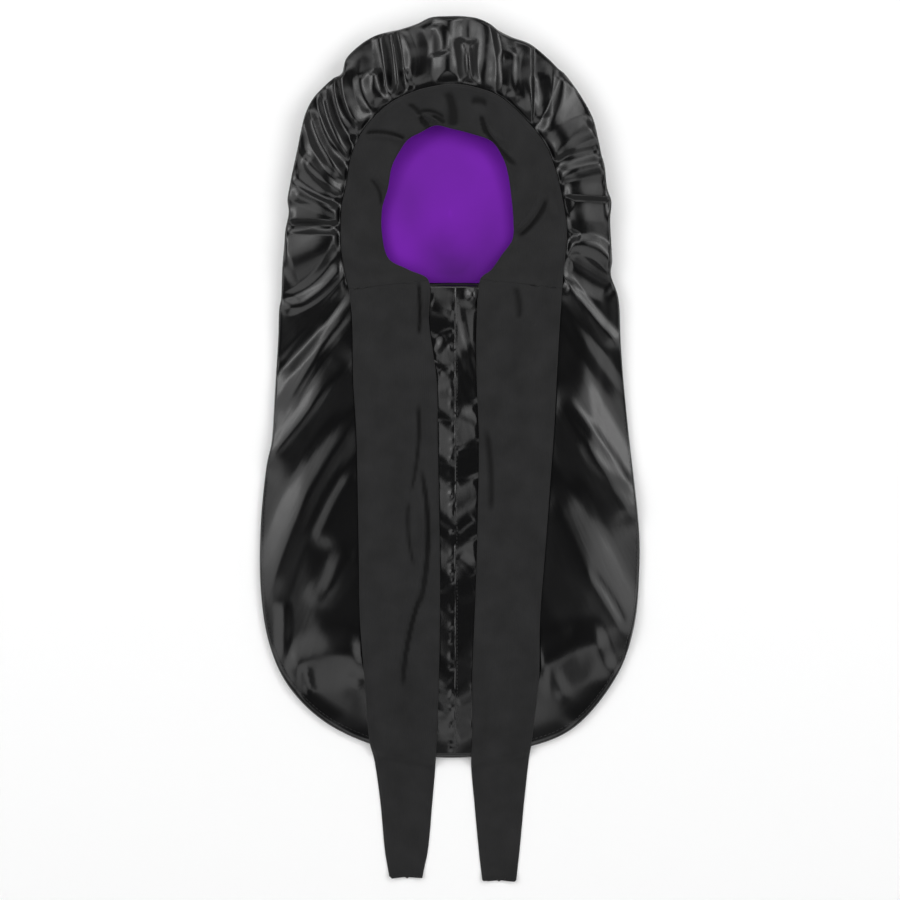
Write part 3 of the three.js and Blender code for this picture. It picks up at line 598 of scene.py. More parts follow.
@dataclass
class Sections:
    """Radial sections of the bag at fractional rows of FOLDS, one value of each size a section.

    A section runs in plan from the seam, under the band's edge, to the outline. The pairs from
    puffs to falls and the two of the gathers hold the foot's value and the crown's. crest_scales
    is the folds' scale below and above crest_ys, and the other pairs are where an eased step
    starts and ends.
    """

    rows: Array
    seam_allowance: float = 8 * MM
    seam_flat: float = 9 * MM
    puffs: Pair = (12 * MM, 28.5 * MM)
    rim_heights: Pair = (4.5 * MM, 21 * MM)
    undercuts: Pair = (2 * MM, 11 * MM)
    hems: Pair = (8 * MM, 2.8 * MM)
    valleys: Pair = (5 * MM, 9 * MM)
    turns: Pair = (2 * MM, 1.5 * MM)
    falls: Pair = (46 * MM, 46 * MM)
    side_fall: float = 85 * MM
    fall_limit: float = 0.85
    gathers_start: Pair = (0.1, 0.0)
    gathers_end: Pair = (0.38, 0.18)
    rim_fade_from: float = 0.84
    valley_start: float = 0.8 * MM
    valley_reach: Pair = (8 * MM, 36 * MM)
    valley_share: float = 0.45
    least_cloth: float = 4 * MM
    crest_scales: Pair = (0.06, 0.22)
    crest_ys: Pair = (335 * MM, 374 * MM)
    foot_facing: Pair = (0.3, 0.8)
    crown_full_y: float = 340 * MM
    foot_flat: float = 16 * MM
    edge_lift: float = 1.6 * MM
    puff_rise: float = 40 * MM
    fold_fade: float = 4 * MM

    rim: Array = field(init=False)
    crest: Array = field(init=False)
    sewn: Array = field(init=False)
    edge: Array = field(init=False)
    opening: Array = field(init=False)
    away: Array = field(init=False)
    length: Array = field(init=False)
    crown: Array = field(init=False)
    foot: Array = field(init=False)
    seam_z: Array = field(init=False)
    puff: Array = field(init=False)
    rim_height: Array = field(init=False)
    undercut: Array = field(init=False)
    hem: Array = field(init=False)
    valley: Array = field(init=False)
    turn: Array = field(init=False)
    fall: Array = field(init=False)

    def __post_init__(self) -> None:
        """Reads the tables at the section rows, and blends the sizes from the foot to the crown."""
        at = closed_curve(FOLDS, self.rows)
        self.rim = at[:, :2] * MM
        self.crest = at[:, 3] * MM * mix(*self.crest_scales, smooth(self.rim[:, 1], *self.crest_ys))
        sewn = np.append(FOLDS[:, 2], FOLDS[0, 2] + len(LOOP))
        self.sewn = np.interp(self.rows, np.arange(len(sewn)), sewn)
        loop = closed_curve(LOOP, self.sewn) * MM
        self.edge, self.opening = loop[:, :2], loop[:, 2:]
        reach = self.rim - self.edge
        span = np.linalg.norm(reach, axis=1)
        self.away = reach / span[:, None]
        self.length = span + self.seam_allowance
        self.crown = smooth(self.rim[:, 1], 0.0, self.crown_full_y)
        round_it = np.roll(self.rim, -1, axis=0) - np.roll(self.rim, 1, axis=0)
        self.foot = smooth(round_it[:, 0] / -np.linalg.norm(round_it, axis=1), *self.foot_facing)
        self.seam_z = seam_height(self.edge[:, 1])
        pairs = self.puffs, self.rim_heights, self.undercuts, self.hems, self.valleys, self.turns
        (self.puff, self.rim_height, self.undercut, self.hem,
         self.valley, self.turn) = (mix(*pair, self.crown) for pair in pairs)
        fall = mix(mix(self.side_fall, self.falls[0], self.foot), self.falls[1], self.crown)
        self.fall = np.minimum(fall, self.fall_limit * self.length)

    @classmethod
    def spread(cls, per_fold: int) -> "Sections":
        """Sections all round the bag, the same number for each row of FOLDS."""
        return cls(np.arange(len(FOLDS) * per_fold) / per_fold)

    def crest_share(self, from_seam: Array) -> Array:
        """Share of a fold that shows: none at the seam, all past the gathers, half at the rim.

        It is an eased step outwards from the seam, which comes sooner at the crown, times 1 less
        half of an eased step over the last sixth.

        Args:
            from_seam: Distances from the seam in metres.

        Returns:
            The share at each point.
        """
        start, full = (self.seam_flat + mix(*pair, self.crown) * self.length
                       for pair in (self.gathers_start, self.gathers_end))
        fade = 0.5 * smooth(from_seam / self.length, self.rim_fade_from, 1.0)
        return smooth(from_seam, start, full) * (1.0 - fade)

    def puff_height(self, from_seam: Array) -> Array:
        """Height of the front without folds.

        It is a quarter wave up from the seam to the puff, a straight slope down, a hem that is
        flat round the foot, and a quick turn at the outline.

        Args:
            from_seam: Distances from the seam in metres.

        Returns:
            Heights in metres.
        """
        rise = ease_up((from_seam - self.seam_flat) / np.minimum(self.puff_rise, 0.4 * self.length))
        body = mix(self.seam_z, self.puff, rise)
        left = self.length - from_seam
        slope = soft_ramp((left - self.foot_flat * self.foot) / self.fall)
        hem = self.rim_height + self.edge_lift * ease_up(left / self.turn)
        return mix(hem, body, slope)

    def front_height(self, from_seam: Array, relief: Array) -> Array:
        """Height of the front with its folds, which fade out over a few millimetres to the outline."""
        fade = ease_up((self.length - from_seam) / self.fold_fade)
        return self.puff_height(from_seam) + relief * fade

    def deepest(self, from_seam: Array) -> Array:
        """How deep a valley may lie under the puff.

        It is an eased step outwards from the seam, but never more than a share of the height
        that the cloth has there.

        Args:
            from_seam: Distances from the seam in metres.

        Returns:
            Depths in metres.
        """
        wanted = self.valley_start + self.valley * smooth(from_seam, *self.valley_reach)
        room = self.valley_share * (self.puff_height(from_seam) - self.least_cloth)
        return np.maximum(0.0, np.minimum(wanted, room))

    def underside_height(self, from_rim: Array) -> Array:
        """Height of the rounded underside at a distance inside the outline."""
        return self.rim_height * (1.0 - round_rise(from_rim / self.undercut))

    def place(self, from_rim: Array, z: Array) -> Array:
        """Points on the sections' lines in plan.

        Args:
            from_rim: Distances inside the outline in metres.
            z: Heights in metres, (points in a section, sections).

        Returns:
            Points with the shape (points in a section, sections, 3).
        """
        from_rim = np.broadcast_to(from_rim, z.shape)
        flat = self.rim[None] - self.away[None] * from_rim[..., None]
        return np.concatenate([flat, z[..., None]], axis=2)


@dataclass
class SatinBag:
    """The outer bag of black satin, one closed cloth wall from its seam round to its inside."""

    stations_per_fold: int = 14
    front_rows: int = 62
    crowding: float = 1.35
    wall: float = 1.2 * MM
    underside_middle: Pair = (0.0, 50 * MM)
    under_angles: tuple[float, ...] = (22.0, 45.0, 67.0, 90.0)
    hem_rows: Pair = (46.6, 62.4)
    fine_start: Pair = (8.2 * MM, 13 * MM)
    creases: Creases = Creases(FRONT_CREASES)
    lobes: Creases = Creases(CROWN_CREASES, crest_round=0.4)
    pleats: Pleats = Pleats()

    sections: Sections = field(init=False)
    from_seam: Array = field(init=False)
    front: Array = field(init=False)

    def __post_init__(self) -> None:
        """Lays out the sections, closer together at the outline, and works out the front."""
        self.sections = Sections.spread(self.stations_per_fold)
        length, flat = self.sections.length, self.sections.seam_flat
        share = 1.0 - (1.0 - np.linspace(0.0, 1.0, self.front_rows)) ** self.crowding
        self.from_seam = np.concatenate(
            [np.zeros((1, len(length))), flat + (length - flat) * share[:, None]])
        self.front = self.front_points(self.from_seam)

    def relief(self, x: Array, y: Array, from_seam: Array) -> Array:
        """Height of all folds over the smooth puff.

        It is the sum of the main folds and the small ones, which start past the seam, and is
        held above the deepest valley.

        Args:
            x: Plan coordinates in metres.
            y: Plan coordinates in metres.
            from_seam: Distances from the seam in metres.

        Returns:
            Height to add, in metres.
        """
        sections = self.sections
        fine = (self.creases.height(x, y) + self.lobes.height(x, y)
                + self.pleats.height_at(sections.sewn, from_seam))
        total = sections.crest * sections.crest_share(from_seam)
        total = total + fine * smooth(from_seam, *self.fine_start)
        return np.maximum(total, -sections.deepest(from_seam))

    def front_points(self, from_seam: Array) -> Array:
        """Points of the front.

        Args:
            from_seam: Distances from the seam in metres, (points in a section, sections).

        Returns:
            Points with the shape (points in a section, sections, 3).
        """
        points = self.sections.place(self.sections.length - from_seam, np.zeros_like(from_seam))
        relief = self.relief(points[..., 0], points[..., 1], from_seam)
        points[..., 2] = self.sections.front_height(from_seam, relief)
        return points

    def cloud(self) -> Array:
        """Points spread over the whole front, about 1.6 mm apart.

        Returns:
            Points with the shape (points, 3).
        """
        fine = SatinBag(stations_per_fold=16, front_rows=4)
        share = np.linspace(0.0, 1.0, 270)[:, None]
        return fine.front_points(fine.sections.length * share).reshape(-1, 3)

    def hem_line(self, inset: float) -> Array:
        """A line round the foot on the front.

        Args:
            inset: How far it lies inside the outline, in metres.

        Returns:
            Its points, with the shape (points, 3).
        """
        rows, (first, last) = self.sections.rows, self.hem_rows
        points = self.front_points((self.sections.length - inset)[None])[0]
        return points[(rows > first) & (rows < last)]

    def build(self) -> bpy.types.Object:
        """Makes the closed wall: front, rounded underside, flat floor, and the inside one wall in.

        The underside is a quarter ellipse from the outline to the floor. The inside of the front
        is every second row of the front moved in along the section's own normal.

        Returns:
            The new object.
        """
        sections = self.sections
        angles = np.radians(self.under_angles)[:, None]
        under = sections.place(sections.undercut * (1 - np.cos(angles)),
                               sections.rim_height * (1 - np.sin(angles)))
        from_seam = self.from_seam[::2] / sections.length * (sections.length - sections.hem)
        roof = self.front_points(from_seam)
        slope = np.gradient(roof[..., 2], axis=0) / np.maximum(np.gradient(from_seam, axis=0), 1e-5)
        turn = np.hypot(1.0, slope)
        inward = np.maximum(0.0, -slope / turn) * self.wall
        roof = sections.place(sections.length - from_seam + inward, roof[..., 2] - self.wall / turn)
        foot_z = (sections.underside_height(sections.hem) + self.wall)[None]
        foot = sections.place((sections.hem + self.wall)[None], foot_z)
        floor = sections.place((sections.hem + sections.undercut + self.wall)[None],
                               np.full_like(foot_z, self.wall))
        rings = np.concatenate([under[::-1], self.front[::-1], roof, foot, floor])
        poles = tuple(np.array([*self.underside_middle, z]) for z in (0.0, self.wall))
        steps = np.linalg.norm(np.diff(sections.rim, axis=0, append=sections.rim[:1]), axis=1)
        along = np.broadcast_to(np.cumsum(steps), rings.shape[:2])
        radial = np.linalg.norm(rings[..., :2] - sections.edge, axis=2)
        return ring_piece("satin_bag", rings, np.stack([along, radial], axis=2), poles)


@dataclass
class Lining:
    """The purple inner bag, smooth and a little lower than the satin, sewn in at the opening."""

    stations_per_fold: int = 6
    roof_rows: int = 14
    wall: float = 1.0 * MM
    outer_wall: float = 1.2 * MM
    clearance: float = 0.6 * MM
    slack: float = 0.6 * MM
    rim_slip: float = 2.4 * MM
    least_z: float = 3.6 * MM
    floor_gap: float = 0.3 * MM
    floor_puff: float = 7.0 * MM
    floor_waves: float = 0.25
    floor_bell: float = 74 * MM
    floor_rings: int = 40
    floor_reach: float = 0.985
    band_dip: float = 3 * MM
    middle: Pair = (0.0, 215 * MM)
    # Painted shade over the lining's middle, fading out towards its edge: it evens the middle with the real
    # shadow round the opening's edge
    middle_painted_shade: float = 0.12
    painted_shade_middle_y: float = 218 * MM
    painted_shade_size: Pair = (57 * MM, 70 * MM)
    painted_shade_fade: Pair = (0.6, 1.0)

    def face(self, sections: Sections, inset: float) -> tuple[Array, Array]:
        """One face of the lining's roof and side, from the opening's edge to the floor's edge.

        The roof lies under the deepest valley that the satin may have there.

        Args:
            sections: The bag's sections.
            inset: How far in this face lies: 0 for the outer face, the wall for the inner one.

        Returns:
            The points of the roof, and the loop where the floor starts.
        """
        drop = self.outer_wall + self.clearance + inset
        outward = sections.edge - sections.opening
        outward /= np.linalg.norm(outward, axis=1)[:, None]
        mouth_z = seam_height(sections.edge[:, 1]) - self.band_dip - drop
        mouth = np.column_stack([sections.opening + outward * inset, mouth_z])[None]
        rim_inset = sections.hem + drop
        span = sections.length - rim_inset
        share = np.linspace(0.0, 1.0, self.roof_rows)[:, None]
        from_seam = np.concatenate([np.zeros((1, len(span))), mix(sections.seam_flat, span, share)])
        beyond = np.minimum(sections.length, from_seam + self.rim_slip * (from_seam > span / 2))
        lowest = np.minimum(
            *(sections.puff_height(at) - sections.deepest(at) for at in (beyond, from_seam)))
        z = np.maximum(lowest - drop - self.slack, self.least_z - inset)
        roof = sections.place(sections.length - from_seam, z)
        lift = self.floor_gap + inset + self.outer_wall
        foot_z = (sections.underside_height(sections.hem) + lift)[None]
        foot = sections.place(rim_inset[None], foot_z)
        start = sections.place((rim_inset + sections.undercut + self.outer_wall)[None],
                               np.full_like(foot_z, lift))
        return np.concatenate([mouth, roof, foot]), start

    def floor(self, start: Array, z: float) -> Array:
        """Loops from the floor's edge towards its middle, with soft dents where it shows.

        The height is slow waves across the plan under a bell round the opening's middle.

        Args:
            start: The loop where the floor starts, (1, sections, 3).
            z: Height of the level floor in metres.

        Returns:
            Points with the shape (loops, sections, 3).
        """
        share = np.linspace(0.0, self.floor_reach, self.floor_rings)[:, None, None]
        rings = mix(start, np.array([*self.middle, z]), share)
        x, y = rings[..., 0], rings[..., 1]
        bell = bump(np.hypot(x, y - self.middle[1]), self.floor_bell)
        dents = 1.0 + self.floor_waves * waves(x, y, LINING_WAVES)
        rings[..., 2] = z + self.floor_puff * bell * dents
        return rings

    def painted_shade(self, x: Array, y: Array) -> Array:
        """Painted shade over the plan: one bell for each patch of painted fold shadow, and a faint painted
        shade over the middle that evens it with the real shadow at its edge.

        Args:
            x: Plan coordinates in metres.
            y: Plan coordinates in metres.

        Returns:
            Darkness of the painted shade, from 0 up.
        """
        wide, long = self.painted_shade_size
        off_middle = np.hypot(x / wide, (y - self.painted_shade_middle_y) / long)
        total = self.middle_painted_shade * (1.0 - smooth(off_middle, *self.painted_shade_fade))
        # Each patch is painted shade, a fold shadow painted into the purple
        for middle_x, middle_y, half_x, half_y, painted_dark in LINING_PAINTED_SHADES:
            across = bump(x - middle_x * MM, half_x * MM)
            total += painted_dark * across * bump(y - middle_y * MM, half_y * MM)
        return total

    def build(self) -> bpy.types.Object:
        """Makes the closed lining: outer face and floor, then inner face and floor.

        Returns:
            The new object.
        """
        sections = Sections.spread(self.stations_per_fold)
        outer, outer_start = self.face(sections, 0.0)
        inner, inner_start = self.face(sections, self.wall)
        floor_z = self.outer_wall + self.floor_gap
        rings = np.concatenate([self.floor(outer_start, floor_z)[::-1], outer[::-1], inner,
                                self.floor(inner_start, floor_z + self.wall)])
        made = ring_piece("lining_bag", rings, rings[..., :2])
        # Painted shade on the lining: fold shadows and a darker middle, painted into the purple
        add_painted_shade(made, self.painted_shade(rings[..., 0], rings[..., 1]))
        return made


# The jersey band and ties

@dataclass
class JerseyStrip:
    """The one strip of jersey that is the left tie, the band round the opening and the right tie.

    It is worked out in one go, so that nothing steps where a tie leaves the band, and cut there
    into its three pieces.
    """

    rest: HeightMap
    step: float = 1.6 * MM
    columns: int = 46
    thickness: float = 2.1 * MM
    edge_thickness: float = 0.3
    lift: float = 0.5 * MM
    least_rest: float = 0.05 * MM
    full_rest: float = 2 * MM
    gap: float = 0.3 * MM
    dip: float = 3 * MM
    dip_reach: float = 70 * MM
    dip_from: float = 0.15
    roll: float = 2.4 * MM
    join: float = 45 * MM
    creases: Creases = Creases(JERSEY_CREASES, strength=2.8)
    deepest_crease: float = 0.85
    # How deep a crease is where the shade painted into it is full
    full_painted_shade_depth: float = 2.24 * MM
    relief_start: float = 4 * MM
    unevenness: float = 0.34 * MM
    hem: float = 0.7 * MM
    hem_inset: float = 3.2 * MM
    hem_width: float = 1.3 * MM
    raw_end: float = 9 * MM
    curl: float = 2.6 * MM
    corners: Pair = (0.36, 0.5)
    ragged: float = 0.9 * MM
    frays: Pair = (520.0, 1370.0)

    joints: Pair = field(init=False)
    cuts: Array = field(init=False)
    way: Array = field(init=False)
    outer: Array = field(init=False)
    inner: Array = field(init=False)
    rings: Array = field(init=False)
    painted_shade: Array = field(init=False)

    def __post_init__(self) -> None:
        """Lays out the strip's two edges in plan, and works out its sections."""
        left, band, right = LEFT_TIE[::-1], LOOP[: BAND_LAST_ROW + 1], RIGHT_TIE
        outer = np.concatenate([left[:, [1, 0]], band[:, :2], right[:, [1, 0]]]) * MM
        inner = np.concatenate([left[:, [2, 0]], band[:, 2:], right[:, [2, 0]]]) * MM
        chord = 0.5 * (way_along(outer) + way_along(inner))
        self.joints = chord[len(left)], chord[len(left) + BAND_LAST_ROW]
        pieces = (0.0, self.joints[0]), self.joints, (self.joints[1], chord[-1])
        ways = [np.linspace(a, b, int(round((b - a) / self.step)) + 1) for a, b in pieces]
        self.cuts = np.cumsum([0] + [len(way) - 1 for way in ways])
        self.way = np.concatenate([ways[0], ways[1][1:], ways[2][1:]])
        self.outer, self.inner = (path_curve(edge, self.way, chord) for edge in (outer, inner))
        self.rings, self.painted_shade = self.sections()

    def underside(self, flat: Array, shares: Array) -> Array:
        """Height of the underside: the band's own level, and on the ties what they lie on.

        The band's level is the seam's height plus a gap, less a dip towards the opening that
        grows from each end of the band. Past a joint it blends into the resting height.

        Args:
            flat: Plan points, (sections, shares, 2).
            shares: Shares of the way across, from 0 at the outer edge to 1 at the inner.

        Returns:
            Heights with the shape (sections, shares).
        """
        into_band = np.minimum(self.way - self.joints[0], self.joints[1] - self.way)[:, None]
        level = seam_height(np.maximum(self.outer[:, 1:], BAND_END_Y)) + self.gap
        dip = self.dip * smooth(into_band, 0.0, self.dip_reach) * smooth(shares, self.dip_from, 1.0)
        resting = self.rest.at(flat[..., 0], flat[..., 1])
        lifted = resting + self.lift * smooth(resting, 0.0, self.full_rest)
        lying = np.where(resting > self.least_rest, lifted, 0.0)
        tied = mix(level, lying, smooth(-into_band, 0.0, self.join))
        return np.where(into_band >= 0, level - dip, tied)

    def sections(self) -> tuple[Array, Array]:
        """Closed cross-sections with rolled edges, creases on the top and curled raw ends.

        The top stands over the underside by the thickness, times a quarter round from each edge.
        It carries the creases, slow waves, and along the outer edge a bell for the hem.

        Returns:
            Points with the shape (sections, twice the columns, 3), and the painted shade of each: darkness
            painted into the creases where shade falls.
        """
        shares = edge_shares(self.columns)
        flat = mix(self.outer[:, None], self.inner[:, None], shares[None, :, None])
        x, y = flat[..., 0], flat[..., 1]
        width = np.linalg.norm(self.inner - self.outer, axis=1)[:, None]
        from_edge = np.minimum(shares, 1.0 - shares) * width
        folds = self.creases.height(x, y)
        relief = np.maximum(folds + self.unevenness * waves(x, y, JERSEY_WAVES),
                            -self.deepest_crease * self.thickness)
        relief += self.hem * bump(from_edge - self.hem_inset, self.hem_width) * (shares < 0.5)
        under = self.underside(flat, shares)
        top = under + self.thickness * mix(self.edge_thickness, 1.0, round_rise(from_edge / self.roll))
        top += relief * smooth(from_edge, 0.0, self.relief_start)
        upper, lower = (np.concatenate([flat, z[..., None]], axis=2) for z in (top, under))
        rings = np.concatenate([upper, lower[:, ::-1]], axis=1)
        # Painted shade in the creases: the deeper a crease, the darker its colour is painted
        painted_dark = np.clip(-folds / self.full_painted_shade_depth, 0.0, 1.0)
        from_end = np.minimum(self.way, self.way[-1] - self.way)[:, None]
        near_end = 1.0 - smooth(from_end, 0.0, self.raw_end)
        corner = smooth(np.abs(np.concatenate([shares, shares[::-1]]) - 0.5), *self.corners)
        rings[..., 2] += self.curl * corner * near_end
        coarse, fine = (np.sin(turns * rings[..., 0] + start) for turns, start in zip(self.frays, (0, 1)))
        rings[..., 1] += self.ragged * (coarse + 0.6 * fine) * near_end
        return rings, np.concatenate([painted_dark, np.zeros_like(painted_dark)], axis=1)

    def piece(self, name: str, part: int) -> bpy.types.Object:
        """Makes one of the three pieces.

        Args:
            name: Name of the piece.
            part: Its place in StripPart, from 0.

        Returns:
            The new object.
        """
        rows = slice(self.cuts[part], self.cuts[part + 1] + 1)
        rings = self.rings[rows]
        across = np.linalg.norm(rings[..., :2] - self.outer[rows, None], axis=2)
        uv = np.stack([across, np.broadcast_to(self.way[rows, None], across.shape)], axis=2)
        made = ring_piece(name, rings, uv)
        flat_ends(made, *rings.shape[:2])
        # The painted shade in the creases goes to the material
        add_painted_shade(made, self.painted_shade[rows])
        return made


# The front seam and the stitches

@dataclass
class SeamPanel:
    """The strip of satin between the ties, where the bag's two front edges are sewn together.

    It lies on the front and runs on under both ties. The puckers' ranges are in millimetres.
    """

    front: HeightMap
    rows: int = 330
    columns: int = 116
    top: float = 150.4 * MM
    bottom: float = -275 * MM
    tuck: float = 13 * MM
    gap: float = 0.7 * MM
    least_gap: float = 0.55 * MM
    thickness: float = 0.5 * MM
    raise_by: float = 1.3 * MM
    raise_reach: Pair = (-12 * MM, 2 * MM)
    relief_reach: Pair = (-5 * MM, 1.5 * MM)
    front_last_y: float = 141 * MM
    climb_ys: Pair = (128 * MM, 143 * MM)
    turn_down: float = 4 * MM
    turn_down_ys: Pair = (146.5 * MM, 150 * MM)
    let_down: float = 5 * MM
    let_down_ys: Pair = (140 * MM, 146 * MM)
    seam_x: float = 4.6 * MM
    seam_valley: float = 2.5 * MM
    lean: float = 1.1
    slants: Pair = (-0.5, 0.4)
    puff: float = 4.5 * MM
    puff_at: Pair = (21 * MM, 139 * MM)
    puff_size: Pair = (6 * MM, 8 * MM)
    seed: int = 3
    puckers: int = 46
    pucker_ys: Pair = (-270, 140)
    pucker_offsets: Pair = (2.0, 4.5)
    pucker_widths: Pair = (1.5, 3.0)
    pucker_lengths: Pair = (1.2, 3.2)
    pucker_heights: Pair = (0.2, 0.6)
    creases: Creases = Creases(SEAM_CREASES, crest_round=0.25, strength=0.36)

    def edges(self, y: Array) -> tuple[Array, Array]:
        """The ties' inner edges at plan heights y, from their tables and a point above each.

        Args:
            y: Plan coordinates in metres.

        Returns:
            The x of the left tie's edge and of the right tie's, in metres.
        """
        tables = np.vstack([(200, 0, -19), LEFT_TIE]), np.vstack([(200, 0, 27), RIGHT_TIE])
        left, right = (np.interp(-y, -table[:, 0] * MM, table[:, 2] * MM) for table in tables)
        return left, right

    def relief(self, x: Array, y: Array) -> Array:
        """Slopes to either side of the seam, folds, a puff at the top and puckers.

        Each side leans about its own middle by a slope, which is read from a table along a line
        that slants across the panel. The puff and the puckers are bells.

        Args:
            x: Plan coordinates in metres.
            y: Plan coordinates in metres.

        Returns:
            Height to add, in metres.
        """
        beside = x - self.seam_x
        left, right = (self.lean * np.interp(slant * beside - y, -table[:, 0] * MM, table[:, 1])
                       for slant, table in zip(self.slants, (PANEL_LEFT, PANEL_RIGHT)))
        left_edge, right_edge = self.edges(y)
        left *= 0.5 * (self.seam_x - left_edge) + beside
        right *= 0.5 * (right_edge - self.seam_x) - beside
        total = np.where(beside < 0, left, right)
        total += self.creases.height(x, y) * smooth(np.abs(beside), 0.0, self.seam_valley)
        (puff_x, puff_y), (wide, long) = self.puff_at, self.puff_size
        total += self.puff * bump(x - puff_x, wide) * bump(y - puff_y, long)
        draw = np.random.default_rng(self.seed)
        for _ in range(self.puckers):
            middle_y, offset, wide, long, high = (
                draw.uniform(*span) * MM for span in (self.pucker_ys, self.pucker_offsets,
                                                      self.pucker_widths, self.pucker_lengths,
                                                      self.pucker_heights))
            total += high * bump(x - self.seam_x + offset, wide) * bump(y - middle_y, long)
        return total

    def surface(self) -> Array:
        """Top of the panel: what it lies on, a gap, a raised middle and the relief.

        It lifts to the seam's height under the band, and its last few millimetres turn down.

        Returns:
            Points with the shape (rows, columns, 3).
        """
        y = np.linspace(self.top, self.bottom, self.rows)[:, None]
        left, right = self.edges(y)
        x = mix(left - self.tuck, right + self.tuck, np.linspace(0.0, 1.0, self.columns)[None])
        y = np.broadcast_to(y, x.shape)
        inside = np.minimum(x - left, right - x)
        front = self.front.at(x, np.minimum(y, self.front_last_y))
        lying = mix(front, seam_height(np.full_like(x, BAND_END_Y)), smooth(y, *self.climb_ys))
        raised = self.raise_by * smooth(inside, *self.raise_reach)
        relief = self.relief(x, y) * smooth(inside, *self.relief_reach)
        z = lying + raised + self.gap + relief - self.turn_down * smooth(y, *self.turn_down_ys)
        least = lying + self.least_gap - self.let_down * smooth(y, *self.let_down_ys)
        return np.stack([x, y, np.maximum(z, least)], axis=2)

    def build(self) -> bpy.types.Object:
        """Makes the panel as a thin closed strip.

        Returns:
            The new object.
        """
        top = self.surface()
        under = top[:, ::-1] - np.array([0.0, 0.0, self.thickness])
        rings = np.concatenate([top, under], axis=1)
        return ring_piece("front_seam_panel", rings, rings[..., :2])


@dataclass(frozen=True)
class StitchRow:
    """A row of short straight stitches along a path, each a thin four-sided thread."""

    name: str
    length: float
    pitch: float
    lift: float = 0.1 * MM
    radius: float = 0.22 * MM

    def build(self, points: Array) -> bpy.types.Object:
        """Lays the row a little above the path.

        A stitch has four corners at each end, a radius to either side, above and below.

        Args:
            points: The path on the cloth, in metres.

        Returns:
            The new object.
        """
        points = points + np.array([0.0, 0.0, self.lift])
        way = way_along(points)
        starts = np.arange(self.pitch, way[-1] - self.pitch, self.pitch)
        first, last = (np.stack([np.interp(at, way, points[:, k]) for k in range(3)], axis=1)
                       for at in (starts, starts + self.length))
        along = last - first
        along /= np.linalg.norm(along, axis=1)[:, None]
        side = np.cross(along, [0.0, 0.0, 1.0])
        side /= np.linalg.norm(side, axis=1)[:, None]
        rise = np.cross(side, along)
        corners = [end + self.radius * (a * side + b * rise)
                   for end in (first, last) for a, b in ((-1, 0), (0, 1), (1, 0), (0, -1))]
        faces = np.array([(0, 1, 5, 4), (1, 2, 6, 5), (2, 3, 7, 6), (3, 0, 4, 7), (3, 2, 1, 0), (4, 5, 6, 7)])
        quads = (np.arange(len(starts))[:, None, None] * 8 + faces[None]).reshape(-1, 4)
        flat = np.stack(corners, axis=1).reshape(-1, 3)
        return add_mesh(self.name, flat, quads, flat[:, :2])


# Finishes

class Recipe:
    """A material in the making: its shader, and nodes on its own pattern map that feed it."""

    def __init__(self, name: str) -> None:
        """Starts a material with nodes.

        Args:
            name: Name of the material.
        """
        self.material = bpy.data.materials.new(name)
        self.material.use_nodes = True
        self.tree = self.material.node_tree
        self.shader = self.tree.nodes["Principled BSDF"]

    def put(self, node: bpy.types.Node, inputs: dict[str, Any]) -> bpy.types.Node:
        """Sets inputs of a node, each to a value or to the output that feeds it.

        Args:
            node: The node.
            inputs: A value or an output socket for each input's name.

        Returns:
            The same node.
        """
        for name, value in inputs.items():
            if isinstance(value, bpy.types.NodeSocket):
                self.tree.links.new(value, node.inputs[name])
            else:
                node.inputs[name].default_value = value
        return node

    def add(self, kind: str, inputs: dict[str, Any]) -> bpy.types.Node:
        """Adds a node of a kind, with its inputs set."""
        return self.put(self.tree.nodes.new("ShaderNode" + kind), inputs)

    def pattern(self) -> bpy.types.NodeSocket:
        """The coordinates of the piece's own pattern map, in metres.

        Returns:
            Their socket.
        """
        place = self.add("UVMap", {})
        place.uv_map = "cloth"
        return place.outputs["UV"]

    def mottled(self, place: bpy.types.NodeSocket, colour: Colour, scale: float,
                spread: float) -> bpy.types.NodeSocket:
        """A colour that drifts a little lighter and darker with soft noise.

        Args:
            place: The coordinates that the noise reads.
            colour: The middle colour.
            scale: How many patches of noise a metre holds.
            spread: Share by which it is darker or lighter.

        Returns:
            The colour's socket.
        """
        noise = self.add("TexNoise", {"Scale": scale, "Detail": 3.0, "Vector": place})
        ramp = self.add("ValToRGB", {"Fac": noise.outputs["Fac"]})
        for element, share in zip(ramp.color_ramp.elements, (1.0 - spread, 1.0 + spread)):
            element.color = (*(min(1.0, c * share) for c in colour), 1.0)
        return ramp.outputs["Color"]

    def with_painted_shade(self, colour: bpy.types.NodeSocket, share: float) -> bpy.types.NodeSocket:
        """Paints shade into a colour where the piece's own painted shade is high: times 1 less the share of
        it.

        Args:
            colour: The colour's socket.
            share: How much of the colour the full painted shade takes away.

        Returns:
            The darkened colour's socket.
        """
        # The piece's painted shade, read from its own attribute
        painted_shade = self.add("Attribute", {})
        painted_shade.attribute_name = "painted_shade"
        keep = self.add("MapRange", {"To Min": 1.0, "To Max": 1.0 - share, "Value": painted_shade.outputs["Fac"]})
        times = self.tree.nodes.new("ShaderNodeVectorMath")
        times.operation = "SCALE"
        return self.put(times, {"Vector": colour, "Scale": keep.outputs["Result"]}).outputs["Vector"]

    def grain(self, place: bpy.types.NodeSocket, scale: Pair, strength: float,
              height: float) -> bpy.types.Node:
        """A bump from noise that is stretched along the cloth.

        Args:
            place: The pattern map's coordinates.
            scale: Patches of noise in a metre, across the cloth and along it.
            strength: Strength of the bump.
            height: Height that the full noise stands for, in metres.

        Returns:
            The bump node.
        """
        stretch = self.add("Mapping", {"Scale": (*scale, 1.0), "Vector": place})
        noise = self.add("TexNoise", {"Scale": 1.0, "Detail": 2.0, "Vector": stretch.outputs["Vector"]})
        return self.add("Bump", {"Strength": strength, "Distance": height, "Height": noise.outputs["Fac"]})


